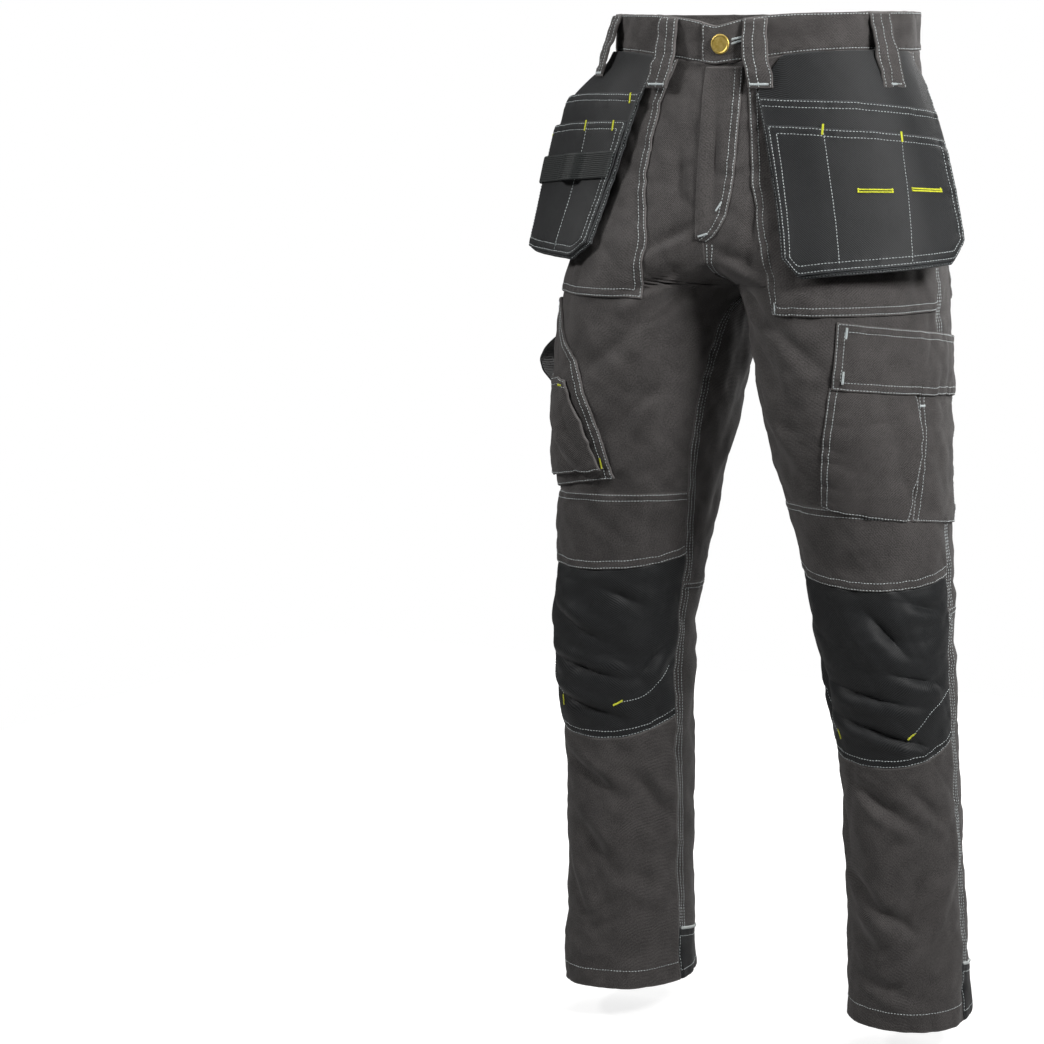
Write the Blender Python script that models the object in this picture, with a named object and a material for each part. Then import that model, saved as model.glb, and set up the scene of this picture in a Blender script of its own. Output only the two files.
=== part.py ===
# Work trousers with holster pockets, filled out and standing open, as they hang on a wearer.
# Metres, +Z up. The origin is the centre of the waistband at mid height, where the wearer holds them.
# The wearer's left is +X and the front faces -Y. The hems are the lowest part.
#
# The cloth is one surface read from horizontal sections of a general figure, and every cut piece is
# a patch of that surface with a wall. A place on it is (w, z): w is the length along the section
# from the side seam, forwards as plus and backwards as minus, and z is the height.

import math

import bmesh
import bpy
import numpy as np

# Driving dimensions
WALL = 0.0020            # twill of the main panels
BAND_WALL = 0.0030       # waistband, four layers
PATCH_WALL = 0.0014      # pocket patches and flaps
WEBBING_WALL = 0.0018    # loops of webbing
LOOP_WALL = 0.0022       # belt loops
SEAM = 0.00015           # half of the gap between two pieces that are sewn together
CLEAR = 0.0008           # gap under a piece that lies on another
BAND_LIFT = 0.0010       # waistband face over the panels' face
PATCH_LIFT = PATCH_WALL + CLEAR
SLACK_LIFT = PATCH_LIFT + 0.0008    # patches over the quickly bending fork and thigh
CROTCH_Z = -0.251
HEM_Z = -1.020
FORK_RADIUS = 0.022      # softness of the cleft over the crotch
ROUNDNESS = 2.15         # exponent of the section's curve: 2 is an ellipse
LOOP_WIDTH = 0.024
WEBBING_WIDTH = 0.024
HOLSTER_TOP = -0.020
HOLSTER_BOTTOM = -0.235

# Sections of one leg from the waist down. Above the crotch a section is cut at the centre plane,
# so x_in is less than 0 there. lean draws the outer side forwards. inseam is the share of the
# front half section that the front panel takes: the inseam is set a little to the front.
SECTION_COLUMNS = ("z", "x_in", "x_out", "y_front", "y_back", "lean", "inseam")
SECTIONS = np.array([
    (0.024, -0.160, 0.160, -0.118, 0.120, 0.000, 1.00),
    (-0.020, -0.159, 0.159, -0.119, 0.123, 0.000, 1.00),
    (-0.055, -0.162, 0.163, -0.124, 0.131, 0.000, 1.00),
    (-0.095, -0.160, 0.170, -0.131, 0.138, 0.000, 1.00),
    (-0.135, -0.148, 0.177, -0.138, 0.141, 0.000, 1.00),
    (-0.175, -0.112, 0.184, -0.145, 0.138, 0.000, 1.00),
    (-0.210, -0.060, 0.190, -0.151, 0.128, 0.000, 1.00),
    (-0.235, -0.021, 0.194, -0.154, 0.118, 0.000, 1.00),
    (-0.251, 0.000, 0.197, -0.155, 0.112, 0.000, 1.00),
    (-0.275, 0.010, 0.200, -0.156, 0.105, 0.000, 0.90),
    (-0.320, 0.018, 0.203, -0.156, 0.096, 0.000, 0.85),
    (-0.370, 0.026, 0.205, -0.153, 0.084, 0.000, 0.83),
    (-0.420, 0.037, 0.208, -0.143, 0.071, 0.000, 0.83),
    (-0.470, 0.049, 0.212, -0.129, 0.061, 0.002, 0.85),
    (-0.520, 0.060, 0.217, -0.117, 0.053, 0.004, 0.88),
    (-0.570, 0.069, 0.219, -0.107, 0.050, 0.006, 0.89),
    (-0.620, 0.078, 0.220, -0.100, 0.048, 0.008, 0.90),
    (-0.665, 0.084, 0.220, -0.092, 0.050, 0.009, 0.90),
    (-0.710, 0.087, 0.220, -0.085, 0.057, 0.009, 0.90),
    (-0.760, 0.092, 0.219, -0.077, 0.064, 0.009, 0.90),
    (-0.820, 0.095, 0.221, -0.071, 0.070, 0.009, 0.91),
    (-0.880, 0.097, 0.223, -0.067, 0.073, 0.009, 0.91),
    (-0.940, 0.098, 0.226, -0.066, 0.076, 0.009, 0.92),
    (-1.020, 0.096, 0.230, -0.067, 0.079, 0.009, 0.92),
])

# Waist seam and top edge of the waistband round one side: t is -1 at the centre back, 0 at the
# side and 1 at the centre front.
WAIST_COLUMNS = ("t", "seam", "top")
WAIST = np.array([
    (-1.00, -0.015, 0.023),
    (-0.50, -0.016, 0.022),
    (0.00, -0.018, 0.021),
    (0.45, -0.018, 0.019),
    (0.71, -0.023, 0.017),
    (0.87, -0.028, 0.013),
    (1.00, -0.032, 0.006),
    (1.20, -0.032, 0.006),
])

# The right leg swings out a little more than the left one, from SPLAY_FROM down over SPLAY_RUN.
SPLAY, SPLAY_FROM, SPLAY_RUN = 0.0055, -0.440, 0.300

# Heights of the cross seams, at the side seam, half way, and at the centre seam or inseam.
CROSS_SEAMS = {
    "yoke": (-0.096, -0.098, -0.100),
    "band_top": (-0.479, -0.469, -0.470),
    "pad_top": (-0.542, -0.552, -0.538),
    "pad_bottom": (-0.715, -0.739, -0.719),
    "back_knee": (-0.577, -0.579, -0.570),
    "hem_band": (-0.958, -0.975, -0.962),
    "hem": (-1.020, -1.020, -1.020),
}

# Largest folds: side, place (w, z), tilt of the ridge from level in degrees, half length along it,
# half width across it, and height (minus for a trough).
FOLD_COLUMNS = ("side", "w", "z", "tilt", "length", "width", "height")
FOLDS = (
    (+1, 0.285, -0.262, -38, 0.055, 0.020, 0.0040),
    (-1, 0.285, -0.262, -38, 0.055, 0.020, 0.0040),
    (+1, -0.240, -0.290, 30, 0.070, 0.022, 0.0045),
    (-1, -0.240, -0.290, 30, 0.070, 0.022, 0.0045),
    (+1, -0.170, -0.330, 12, 0.075, 0.024, -0.0040),
    (-1, -0.150, -0.340, 8, 0.075, 0.024, -0.0035),
    (+1, -0.150, -0.612, 6, 0.080, 0.018, -0.0055),
    (-1, -0.140, -0.618, -6, 0.080, 0.018, -0.0055),
    (+1, -0.120, -0.655, -10, 0.070, 0.020, 0.0045),
    (-1, -0.130, -0.660, 10, 0.070, 0.020, 0.0045),
    (+1, 0.105, -0.850, 84, 0.110, 0.020, 0.0050),
    (-1, 0.120, -0.850, 96, 0.110, 0.020, 0.0050),
    (+1, -0.120, -0.830, 86, 0.120, 0.024, 0.0045),
    (-1, -0.110, -0.830, 94, 0.120, 0.024, 0.0045),
)

# Heights where every panel has a row of points, down from the waist seam: a level, or the name of
# a cross seam, which a panel that runs past it crosses on a straight line. Panels that meet at the
# side seam or inseam so have their points at the same heights there.
LADDER = ("waist", -0.050, -0.072, "yoke", -0.122, -0.148, -0.175, -0.200, -0.220, -0.235, -0.244,
          -0.2505, -0.258, -0.275, -0.300, -0.330, -0.362, -0.395, -0.428, -0.454, "band_top",
          -0.510, "pad_top", "back_knee", -0.602, -0.630, -0.660, -0.688, "pad_bottom", -0.750,
          -0.785, -0.820, -0.855, -0.890, -0.925, "hem_band", -0.990, "hem")
EDGE_SHARE = 0.0007     # trim of a panel at its side seam and inseam, as a share of its width
FRONT_SPANS = 11
BACK_SPANS = 12
STEP = 0.001            # of the parameters, where a direction on the surface is read
PIPING_HALF = 0.0016
PAD_SWELL = 0.0050       # bulge of the knee pad pocket


def smooth(table, key, column):
    """Cubic through the table's rows, with slopes from the neighbouring rows."""
    order = np.argsort(table[:, 0])
    knots, values = table[order, 0], table[order, column]
    gaps = np.diff(knots)
    rises = np.diff(values) / gaps
    slopes = np.empty_like(values)
    slopes[0], slopes[-1] = rises[0], rises[-1]
    slopes[1:-1] = (rises[:-1] * gaps[1:] + rises[1:] * gaps[:-1]) / (gaps[:-1] + gaps[1:])
    key = np.clip(key, knots[0], knots[-1])
    row = np.clip(np.searchsorted(knots, key) - 1, 0, len(gaps) - 1)
    f, gap = (key - knots[row]) / gaps[row], gaps[row]
    ends = (2 * f**3 - 3 * f**2 + 1) * values[row] + (3 * f**2 - 2 * f**3) * values[row + 1]
    bends = (f**3 - 2 * f**2 + f) * slopes[row] + (f**3 - f**2) * slopes[row + 1]
    return ends + bends * gap


def section(z, name):
    return smooth(SECTIONS, z, SECTION_COLUMNS.index(name))


def waist(t, name):
    return smooth(WAIST, t, WAIST_COLUMNS.index(name))


def half_section(z, front, samples=241):
    """Points of half a section from the side seam to the centre seam or inseam, one row for each z."""
    z = np.atleast_1d(z).astype(float)[:, None]
    x_in, x_out = section(z, "x_in"), section(z, "x_out")
    y_front, y_back = section(z, "y_front"), section(z, "y_back")
    middle, half_width = (x_in + x_out) / 2, (x_out - x_in) / 2
    centre = (y_front + y_back) / 2
    depth = (y_back - y_front) / 2
    is_open = x_in < 0
    cut = -np.clip(middle / half_width, 0, 1) ** (ROUNDNESS / 2)
    end = np.where(is_open, np.arccos(np.clip(cut, -1, 1)), np.pi)
    turn = end * np.linspace(0, 1, samples)[None, :]
    along, across = np.cos(turn), np.sin(turn)
    x = middle + half_width * np.sign(along) * np.abs(along) ** (2 / ROUNDNESS)
    reach = depth * np.abs(across) ** (2 / ROUNDNESS)
    slope = depth * np.abs(np.cos(end)) / (half_width * np.maximum(np.sin(end), 0.15))
    fill = FORK_RADIUS * np.minimum(slope, 1.2) * np.minimum(1, np.sin(end) / 0.6)
    reach = reach + np.where(is_open, fill, 0) * np.exp(-np.abs(x) / FORK_RADIUS)
    y = centre + (-reach if front else reach) - section(z, "lean") * (x - middle) / half_width
    return x, y


def half_lengths(z, front):
    x, y = half_section(z, front)
    return np.hypot(np.diff(x, axis=1), np.diff(y, axis=1)).sum(axis=1)


# Lengths of the half sections by height, read once
LENGTH_Z = np.concatenate([np.linspace(0.024, -0.225, 84), np.linspace(-0.228, -0.262, 69),
                           np.linspace(-0.266, HEM_Z, 190)])[::-1]
FRONT_LENGTH = half_lengths(LENGTH_Z, True)
BACK_LENGTH = half_lengths(LENGTH_Z, False)


def half_length(z, front):
    return np.interp(z, LENGTH_Z, FRONT_LENGTH if front else BACK_LENGTH)


def splay(side, z):
    """Level shift of a leg away from the centre plane, eased in from the thigh down."""
    f = np.clip((SPLAY_FROM - np.asarray(z, float)) / SPLAY_RUN, 0, 1)
    return SPLAY * f * f * (3 - 2 * f) * (side < 0)


def bare(side, w, z):
    """Point of the surface at (w, z), before its folds. side is +1 for the wearer's left.

    Past the centre seam w runs on to the other side, and past the inseam to the other half.
    """
    w, z = np.broadcast_arrays(np.asarray(w, float), np.asarray(z, float))
    shape = w.shape
    w, z = w.ravel().copy(), z.ravel()
    mirror = np.full(w.shape, float(side))
    for front, sign in ((True, 1), (False, -1)):
        length = half_length(z, front)
        past = sign * w > length
        torso = past & (z > CROTCH_Z)
        w[torso] = sign * (2 * length[torso] - sign * w[torso])
        mirror[torso] *= -1
        leg = past & ~torso
        other = half_length(z, not front)
        w[leg] = -sign * (other[leg] - (sign * w[leg] - length[leg]))
    point = np.zeros((len(w), 3))
    for front in (True, False):
        here = (w >= 0) if front else (w < 0)
        if not here.any():
            continue
        x, y = half_section(z[here], front)
        run = np.hypot(np.diff(x, axis=1), np.diff(y, axis=1)).cumsum(axis=1)
        run = np.concatenate([np.zeros((len(x), 1)), run], axis=1)
        reach = np.abs(w[here])
        k = np.clip((run <= reach[:, None]).sum(axis=1) - 1, 0, x.shape[1] - 2)
        i = np.arange(len(reach))
        f = np.clip((reach - run[i, k]) / np.maximum(run[i, k + 1] - run[i, k], 1e-9), 0, 1)
        point[here, 0] = x[i, k] + (x[i, k + 1] - x[i, k]) * f
        point[here, 1] = y[i, k] + (y[i, k + 1] - y[i, k]) * f
    point[:, 0] = (point[:, 0] + splay(side, z)) * mirror
    point[:, 2] = z
    return point.reshape(shape + (3,))


def fold_height(side, w, z):
    """Sum of the soft ridges and troughs of the fold table at (w, z)."""
    height = np.zeros(np.broadcast(w, z).shape)
    for fold_side, fold_w, fold_z, tilt, length, width, rise in FOLDS:
        if fold_side != side:
            continue
        angle = math.radians(tilt)
        dw, dz = w - fold_w, z - fold_z
        along = dw * math.cos(angle) + dz * math.sin(angle)
        across = dz * math.cos(angle) - dw * math.sin(angle)
        height = height + rise * np.exp(-(along / length) ** 2 - (across / width) ** 2)
    return height


def cloth(side, w, z):
    """Point of the folded surface at (w, z): the bare point moved level, away from the axis."""
    point = bare(side, w, z)
    middle = (np.maximum((section(z, "x_in") + section(z, "x_out")) / 2, 0) + splay(side, z)) * side
    centre = (section(z, "y_front") + section(z, "y_back")) / 2
    away = np.stack(np.broadcast_arrays(point[..., 0] - middle, point[..., 1] - centre, 0.0), axis=-1)
    away = away / np.maximum(np.linalg.norm(away, axis=-1, keepdims=True), 1e-6)
    return point + away * fold_height(side, w, z)[..., None]


def level_normal(side, w, z):
    """Unit directions that point level out of the surface."""
    run = cloth(side, w + STEP, z) - cloth(side, w - STEP, z)
    out = -side * np.cross(run, np.broadcast_to((0.0, 0.0, 1.0), run.shape))
    return out / np.linalg.norm(out, axis=-1, keepdims=True)


def panel_surface(side):
    """Surface of the main panels: t is 0 at the side seam, 1 and -1 at the front and back edges."""
    def at(t, z):
        t = np.clip(t, -1, 1)
        front, back = half_length(z, True), half_length(z, False)
        share = section(z, "inseam")
        w = np.where(t >= 0, t * share * front, t * (back + (1 - share) * front))
        return cloth(side, w, z)
    return at


def patch_surface(side):
    """Surface for pieces that lie on the panels: the two parameters are w and z themselves."""
    return lambda w, z: cloth(side, w, z)


def new_object(name, points, faces, finish, is_smooth=True):
    mesh = bpy.data.meshes.new(name)
    mesh.from_pydata([tuple(p) for p in points], [], faces)
    mesh.materials.append(finish)
    model = bmesh.new()
    model.from_mesh(mesh)
    if model.calc_volume(signed=True) < 0:
        bmesh.ops.reverse_faces(model, faces=model.faces)
    model.to_mesh(mesh)
    model.free()
    if is_smooth:
        mesh.shade_smooth()
        mesh.set_sharp_from_angle(angle=math.radians(45))
    thing = bpy.data.objects.new(name, mesh)
    bpy.context.scene.collection.objects.link(thing)
    return thing


def sheet(name, surface, u, v, wall, finish, lift=0.0, sign=1, floor=None):
    """Closed wall over a grid of parameters: its face is the surface moved out by lift, its back
    lies one wall deeper, and a rim joins them. floor keeps a panel on its side of the centre."""
    base = surface(u, v)
    run_u = surface(u + STEP, v) - surface(u - STEP, v)
    run_v = surface(u, v + STEP) - surface(u, v - STEP)
    out = sign * np.cross(run_u, run_v)
    out = out / np.maximum(np.linalg.norm(out, axis=-1, keepdims=True), 1e-12)
    lift = np.broadcast_to(np.asarray(lift, float), u.shape)[..., None]
    face = base + out * lift
    back = face - out * wall
    if floor is not None:
        side, least = floor
        for skin in (face, back):
            skin[..., 0] = side * np.maximum(side * skin[..., 0], least)
    rows, columns = u.shape
    count = rows * columns
    number = np.arange(count).reshape(rows, columns)
    quads = np.stack([number[:-1, :-1], number[1:, :-1], number[1:, 1:], number[:-1, 1:]], axis=-1)
    quads = quads.reshape(-1, 4)
    edge = np.concatenate([number[0, :], number[1:, -1], number[-1, -2::-1], number[-2:0:-1, 0]])
    after = np.roll(edge, -1)
    rim = np.stack([edge, after, after + count, edge + count], axis=-1)
    faces = quads.tolist() + (quads[:, ::-1] + count).tolist() + rim.tolist()
    points = np.concatenate([face.reshape(-1, 3), back.reshape(-1, 3)])
    return new_object(name, points, faces, finish)


def row_height(row, t, is_edge):
    """Height at t of a row of the ladder. A cross seam is a parabola through its three heights
    where a panel ends at it, and straight where a panel crosses it."""
    t = np.abs(t)
    if row not in CROSS_SEAMS:
        return np.full_like(t, row)
    side, half, end = CROSS_SEAMS[row]
    if not is_edge:
        half = (side + end) / 2
    return side * (1 - t) * (1 - 2 * t) + half * 4 * t * (1 - t) + end * t * (2 * t - 1)


def panel(name, side, front, top, bottom, finish, swell=0.0):
    """Main panel between two rows of the ladder, with a row of points on each row between them."""
    sign = 1 if front else -1
    spans = FRONT_SPANS if front else BACK_SPANS
    t = np.linspace(0, 1, spans + 1)
    t[0], t[-1] = EDGE_SHARE, 1 - EDGE_SHARE
    t = sign * t
    upper = waist(t, "seam") if top == "waist" else row_height(top, t, True)
    lower = row_height(bottom, t, True)
    inner = LADDER[LADDER.index(top) + 1:LADDER.index(bottom)]
    z = np.stack([upper - SEAM] + [row_height(row, t, False) for row in inner] + [lower + SEAM])
    t = np.broadcast_to(t, z.shape)
    height = (upper - z) / (upper - lower)
    bulge = swell * np.sin(np.pi * np.abs(t)) * np.sin(np.pi * height)
    return sheet(name, panel_surface(side), t, z, WALL, finish, lift=bulge, sign=-side,
                 floor=(side, SEAM))


def outline_grid(rows, columns, spans_down):
    """Grid of (w, z) over a patch: each row of the outline is (w, z) at its front and at its rear."""
    rows = np.array(rows)
    depth = -(rows[:, 1] + rows[:, 3])
    place = np.linspace(depth[0], depth[-1], spans_down + 1)
    front_w, front_z, rear_w, rear_z = (np.interp(place, depth, rows[:, k]) for k in range(4))
    f = np.linspace(0, 1, columns + 1)[None, :]
    w = front_w[:, None] * (1 - f) + rear_w[:, None] * f
    z = front_z[:, None] * (1 - f) + rear_z[:, None] * f
    return w, z


def below_waist(w, z):
    """Keeps a patch clear of the waistband: no point is higher than just under the waist seam."""
    length = np.where(w >= 0, half_length(z, True), half_length(z, False))
    return np.minimum(z, waist(w / length, "seam") - CLEAR)


def pillow(shape):
    """1 in the middle of a grid and 0 round its edge."""
    down = np.sin(np.pi * np.linspace(0, 1, shape[0]))[:, None]
    across = np.sin(np.pi * np.linspace(0, 1, shape[1]))[None, :]
    return np.sqrt(np.clip(down * across, 0, 1))


def patch(name, side, rows, columns, spans_down, finish, lift=PATCH_LIFT, swell=0.0, wall=PATCH_WALL):
    """Piece that lies on the panels, made from their points, moved out by one lift, or by a first
    one along its top that eases into a second one along its foot."""
    w, z = outline_grid(rows, columns, spans_down)
    z = below_waist(w, z)
    top_lift, foot_lift = lift if isinstance(lift, tuple) else (lift, lift)
    height = np.linspace(top_lift, foot_lift, spans_down + 1)[:, None] + swell * pillow(w.shape)
    return sheet(name, patch_surface(side), w, z, wall, finish, lift=height, sign=-side)


# Finishes

def make_finish(name, colour, roughness, metallic=0.0):
    finish = bpy.data.materials.new(name)
    finish.use_nodes = True
    shader = finish.node_tree.nodes["Principled BSDF"]
    shader.inputs["Base Color"].default_value = (*colour, 1.0)
    shader.inputs["Roughness"].default_value = roughness
    shader.inputs["Metallic"].default_value = metallic
    return finish


# Waist: band, placket, button and belt loops

OVERLAP_PAST = 0.015       # left band past the centre front
UNDERLAP_PAST = 0.012      # right band past the centre front, under the left one
OVERLAP_LIFT = BAND_WALL + 0.0004
OVERLAP_START, OVERLAP_RAMP = 0.029, 0.013

BELT_LOOPS = (
    # name, side, w, height of the lower end, outer face over the panels at the top, half way, below
    ("belt_loop_front_left", +1, 0.181, -0.055, 0.0040, 0.0110, 0.0110),
    ("belt_loop_front_right", -1, 0.169, -0.055, 0.0040, 0.0120, 0.0120),
    ("belt_loop_side_left", +1, 0.053, -0.055, 0.0040, 0.0140, 0.0170),
    ("belt_loop_side_right", -1, 0.072, -0.043, 0.0040, 0.0160, 0.0225),
    ("belt_loop_back_left", +1, -0.094, -0.055, 0.0040, 0.0095, 0.0032),
    ("belt_loop_back_right", -1, -0.098, -0.055, 0.0040, 0.0095, 0.0032),
)
CENTRE_LOOP_WIDTH = 0.070
CENTRE_LOOP_TOP_Z, CENTRE_LOOP_FOOT_Z = 0.0215, -0.047
CENTRE_LOOP_LIFTS = (0.0040, 0.0100, 0.0032)
LOOP_INSET = 0.0010        # top of a belt loop under the top edge of the waistband
BUTTON_RADIUS, BUTTON_HEIGHT = 0.0100, 0.0030
BUTTON_INSET, BUTTON_Z = 0.007, -0.012      # centre of the button before the centre front, and height
BUTTON_GAP = 0.0008
BUTTON_PROFILE = ((0.86, 0.0), (1.0, 0.35), (1.0, 0.70), (0.90, 1.0))   # shares of radius and height
FLY_ROWS = ((-0.030, -0.034, 0.011, -0.034), (-0.030, -0.077, 0.011, -0.077),
            (-0.028, -0.145, 0.010, -0.145), (-0.019, -0.186, 0.009, -0.184),
            (-0.003, -0.206, 0.009, -0.204))     # w from the centre front and z, at both edges


def make_waistband(side, finish):
    past = OVERLAP_PAST if side > 0 else UNDERLAP_PAST
    length = half_length(0.0, True)
    back = -np.linspace(0.9993, 0, BACK_SPANS + 1)[:-1]
    front = np.linspace(0, 1, FRONT_SPANS + 1)
    ramp = 1 - np.array([OVERLAP_START, OVERLAP_START - OVERLAP_RAMP]) / length
    t = np.sort(np.concatenate([back, front, ramp, [1 + past / length]]))
    height = np.linspace(0, 1, 3)[:, None]
    mirrored = np.where(t > 1, 2 - t, t)
    z = (waist(mirrored, "seam") + SEAM) * (1 - height) + waist(mirrored, "top") * height
    t = np.broadcast_to(t, z.shape)
    w = np.where(t >= 0, t * half_length(z, True), t * half_length(z, False))
    lift = np.full(z.shape, BAND_LIFT)
    if side > 0:
        start = half_length(z, True) - OVERLAP_START
        lift = lift + OVERLAP_LIFT * np.clip((w - start) / OVERLAP_RAMP, 0, 1)
    name = "waistband_left" if side > 0 else "waistband_right"
    return sheet(name, patch_surface(side), w, z, BAND_WALL, finish, lift=lift, sign=-side)


def make_fly_placket(finish):
    """Edge of the left front over the right one, with the curved foot of its stitching."""
    past, z = outline_grid(FLY_ROWS, 3, 8)
    w = half_length(z, True) + past
    return sheet("fly_placket", patch_surface(+1), w, z, PATCH_WALL, finish,
                 lift=PATCH_LIFT, sign=-1)


def turned_disc(name, side, w, z, start, radius, height, profile, turns, finish):
    """Disc turned from a profile of (share of radius, share of height), square to the surface."""
    centre = cloth(side, w, z)
    run = side * (cloth(side, w + STEP, z) - cloth(side, w - STEP, z))
    across = run / np.linalg.norm(run)
    out = np.cross((0.0, 0.0, 1.0), across)
    angle = 2 * np.pi * np.arange(turns) / turns
    circle = np.cos(angle)[:, None] * across + np.sin(angle)[:, None] * np.array((0.0, 0.0, 1.0))
    points = []
    for radius_share, height_share in profile:
        points.extend(centre + out * (start + height * height_share) + circle * radius * radius_share)
    count = len(profile)
    faces = [(k + r, (k + 1) % turns + r, (k + 1) % turns + r + turns, k + r + turns)
             for r in range(0, (count - 1) * turns, turns) for k in range(turns)]
    faces += [tuple(range(turns))[::-1], tuple(range((count - 1) * turns, count * turns))]
    new_object(name, points, faces, finish)


def make_waist_button(finish):
    """Flat jeans button: a turned disc with a rounded rim, square to the band where it sits."""
    w = half_length(BUTTON_Z, True) - BUTTON_INSET
    start = BAND_LIFT + OVERLAP_LIFT + BUTTON_GAP
    turned_disc("waist_button", +1, w, BUTTON_Z, start, BUTTON_RADIUS, BUTTON_HEIGHT, BUTTON_PROFILE,
                24, finish)


def strip_down(name, side, w, width, z_top, z_foot, lifts, finish, wall, spans=8, columns=2,
               is_central=False):
    """Strip that runs down the surface and stands off it: its face passes the lifts at its ends
    and half way, on a parabola, and its back lies one wall deeper. A central one keeps to the
    centre seam, where w grows with the section."""
    top_lift, middle_lift, foot_lift = lifts
    strip_w, share = np.meshgrid(w + np.linspace(0.5, -0.5, columns + 1) * width,
                                 np.linspace(0, 1, spans + 1))

    def at(place_w, place):
        place = np.clip(place, 0, 1)
        arch = middle_lift - (top_lift + foot_lift) / 2
        lift = top_lift * (1 - place) + foot_lift * place + arch * (1 - (2 * place - 1) ** 2)
        z = z_top + (z_foot - z_top) * place
        if is_central:
            place_w = place_w + half_length(0.0, False) - half_length(z, False)
        return cloth(side, place_w, z) + level_normal(side, place_w, z) * lift[..., None]

    return sheet(name, at, strip_w, share, wall, finish, sign=side)


def make_belt_loops(finish):
    for name, side, w, z_foot, top_lift, middle_lift, foot_lift in BELT_LOOPS:
        z_top = float(waist(w / half_length(0.0, w > 0), "top")) - LOOP_INSET
        strip_down(name, side, w, LOOP_WIDTH, z_top, z_foot, (top_lift, middle_lift, foot_lift),
                   finish, LOOP_WALL)
    length = float(half_length(0.0, False))
    strip_down("belt_loop_centre_back", +1, -length, CENTRE_LOOP_WIDTH, CENTRE_LOOP_TOP_Z,
               CENTRE_LOOP_FOOT_Z, CENTRE_LOOP_LIFTS, finish, LOOP_WALL, columns=6, is_central=True)


# Legs, seat and hems

def make_panels(side, twill, oxford, trim):
    tag = "left" if side > 0 else "right"
    panel(f"front_thigh_{tag}", side, True, "waist", "band_top", twill)
    panel(f"knee_band_{tag}", side, True, "band_top", "pad_top", twill)
    panel(f"knee_pad_{tag}", side, True, "pad_top", "pad_bottom", oxford, swell=PAD_SWELL)
    panel(f"shin_{tag}", side, True, "pad_bottom", "hem", twill)
    panel(f"back_yoke_{tag}", side, False, "waist", "yoke", twill)
    panel(f"back_thigh_{tag}", side, False, "yoke", "back_knee", twill)
    panel(f"back_calf_{tag}", side, False, "back_knee", "hem_band", twill)
    panel(f"hem_band_{tag}", side, False, "hem_band", "hem", oxford)
    make_piping(side, tag, trim)


def make_piping(side, tag, finish):
    """Flat cord over the seam between the calf and the black hem band."""
    t = -np.linspace(0.010, 0.990, BACK_SPANS + 1)
    z = row_height("hem_band", t, True) + np.array([PIPING_HALF, -PIPING_HALF])[:, None]
    t = np.broadcast_to(t, z.shape)
    sheet(f"hem_piping_{tag}", panel_surface(side), t, z, PATCH_WALL, finish,
          lift=PATCH_LIFT, sign=-side)


# Pockets that lie on the panels. Each outline row is w and z at the front edge, then at the rear.

FRONT_PATCHES = {
    +1: ((0.190, -0.024, 0.003, -0.019), (0.197, -0.065, 0.003, -0.065), (0.211, -0.150, 0.003, -0.150),
         (0.213, -0.205, 0.003, -0.205), (0.210, -0.276, 0.003, -0.276)),
    -1: ((0.180, -0.024, 0.003, -0.019), (0.173, -0.070, 0.003, -0.070), (0.185, -0.140, 0.003, -0.140),
         (0.212, -0.205, 0.003, -0.205), (0.218, -0.264, 0.003, -0.262)),
}
CARGO_FRONT = ((0.146, -0.345, 0.046, -0.354), (0.150, -0.400, 0.044, -0.400),
               (0.151, -0.468, 0.061, -0.482))
CARGO_REAR = ((0.042, -0.354, -0.076, -0.366), (0.040, -0.400, -0.070, -0.410),
              (0.056, -0.482, -0.044, -0.495))
CARGO_FLAP = ((0.141, -0.281, -0.085, -0.308), (0.144, -0.347, -0.086, -0.369))
RULER_POCKET = ((0.080, -0.269, -0.080, -0.288), (0.140, -0.331, -0.076, -0.345),
                (0.155, -0.378, -0.070, -0.398), (0.163, -0.450, -0.052, -0.488))
RULER_LOWER = ((0.128, -0.350, -0.060, -0.352), (0.143, -0.390, -0.058, -0.400),
               (0.151, -0.440, -0.046, -0.474))
BACK_POCKET_LEFT = ((-0.034, -0.126, -0.176, -0.124), (-0.040, -0.169, -0.188, -0.169),
                    (-0.062, -0.220, -0.200, -0.220), (-0.087, -0.271, -0.211, -0.261))
BACK_FLAP_LEFT = ((-0.036, -0.084, -0.176, -0.083), (-0.020, -0.137, -0.178, -0.134))
BACK_POCKET_RIGHT = ((-0.057, -0.084, -0.192, -0.082), (-0.082, -0.172, -0.214, -0.167),
                     (-0.116, -0.270, -0.233, -0.259))
CARGO_SWELL, FLAP_SWELL, RULER_SWELL, SEAT_SWELL = 0.0030, 0.0020, 0.0040, 0.0020
# Faces of the two flaps along their tops, on the panels, and along their feet, on the pockets
CARGO_FLAP_LIFTS = (PATCH_LIFT, PATCH_LIFT * 2 + CLEAR)
BACK_FLAP_LIFTS = (PATCH_LIFT, PATCH_LIFT * 2 + SEAT_SWELL / 2)


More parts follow.
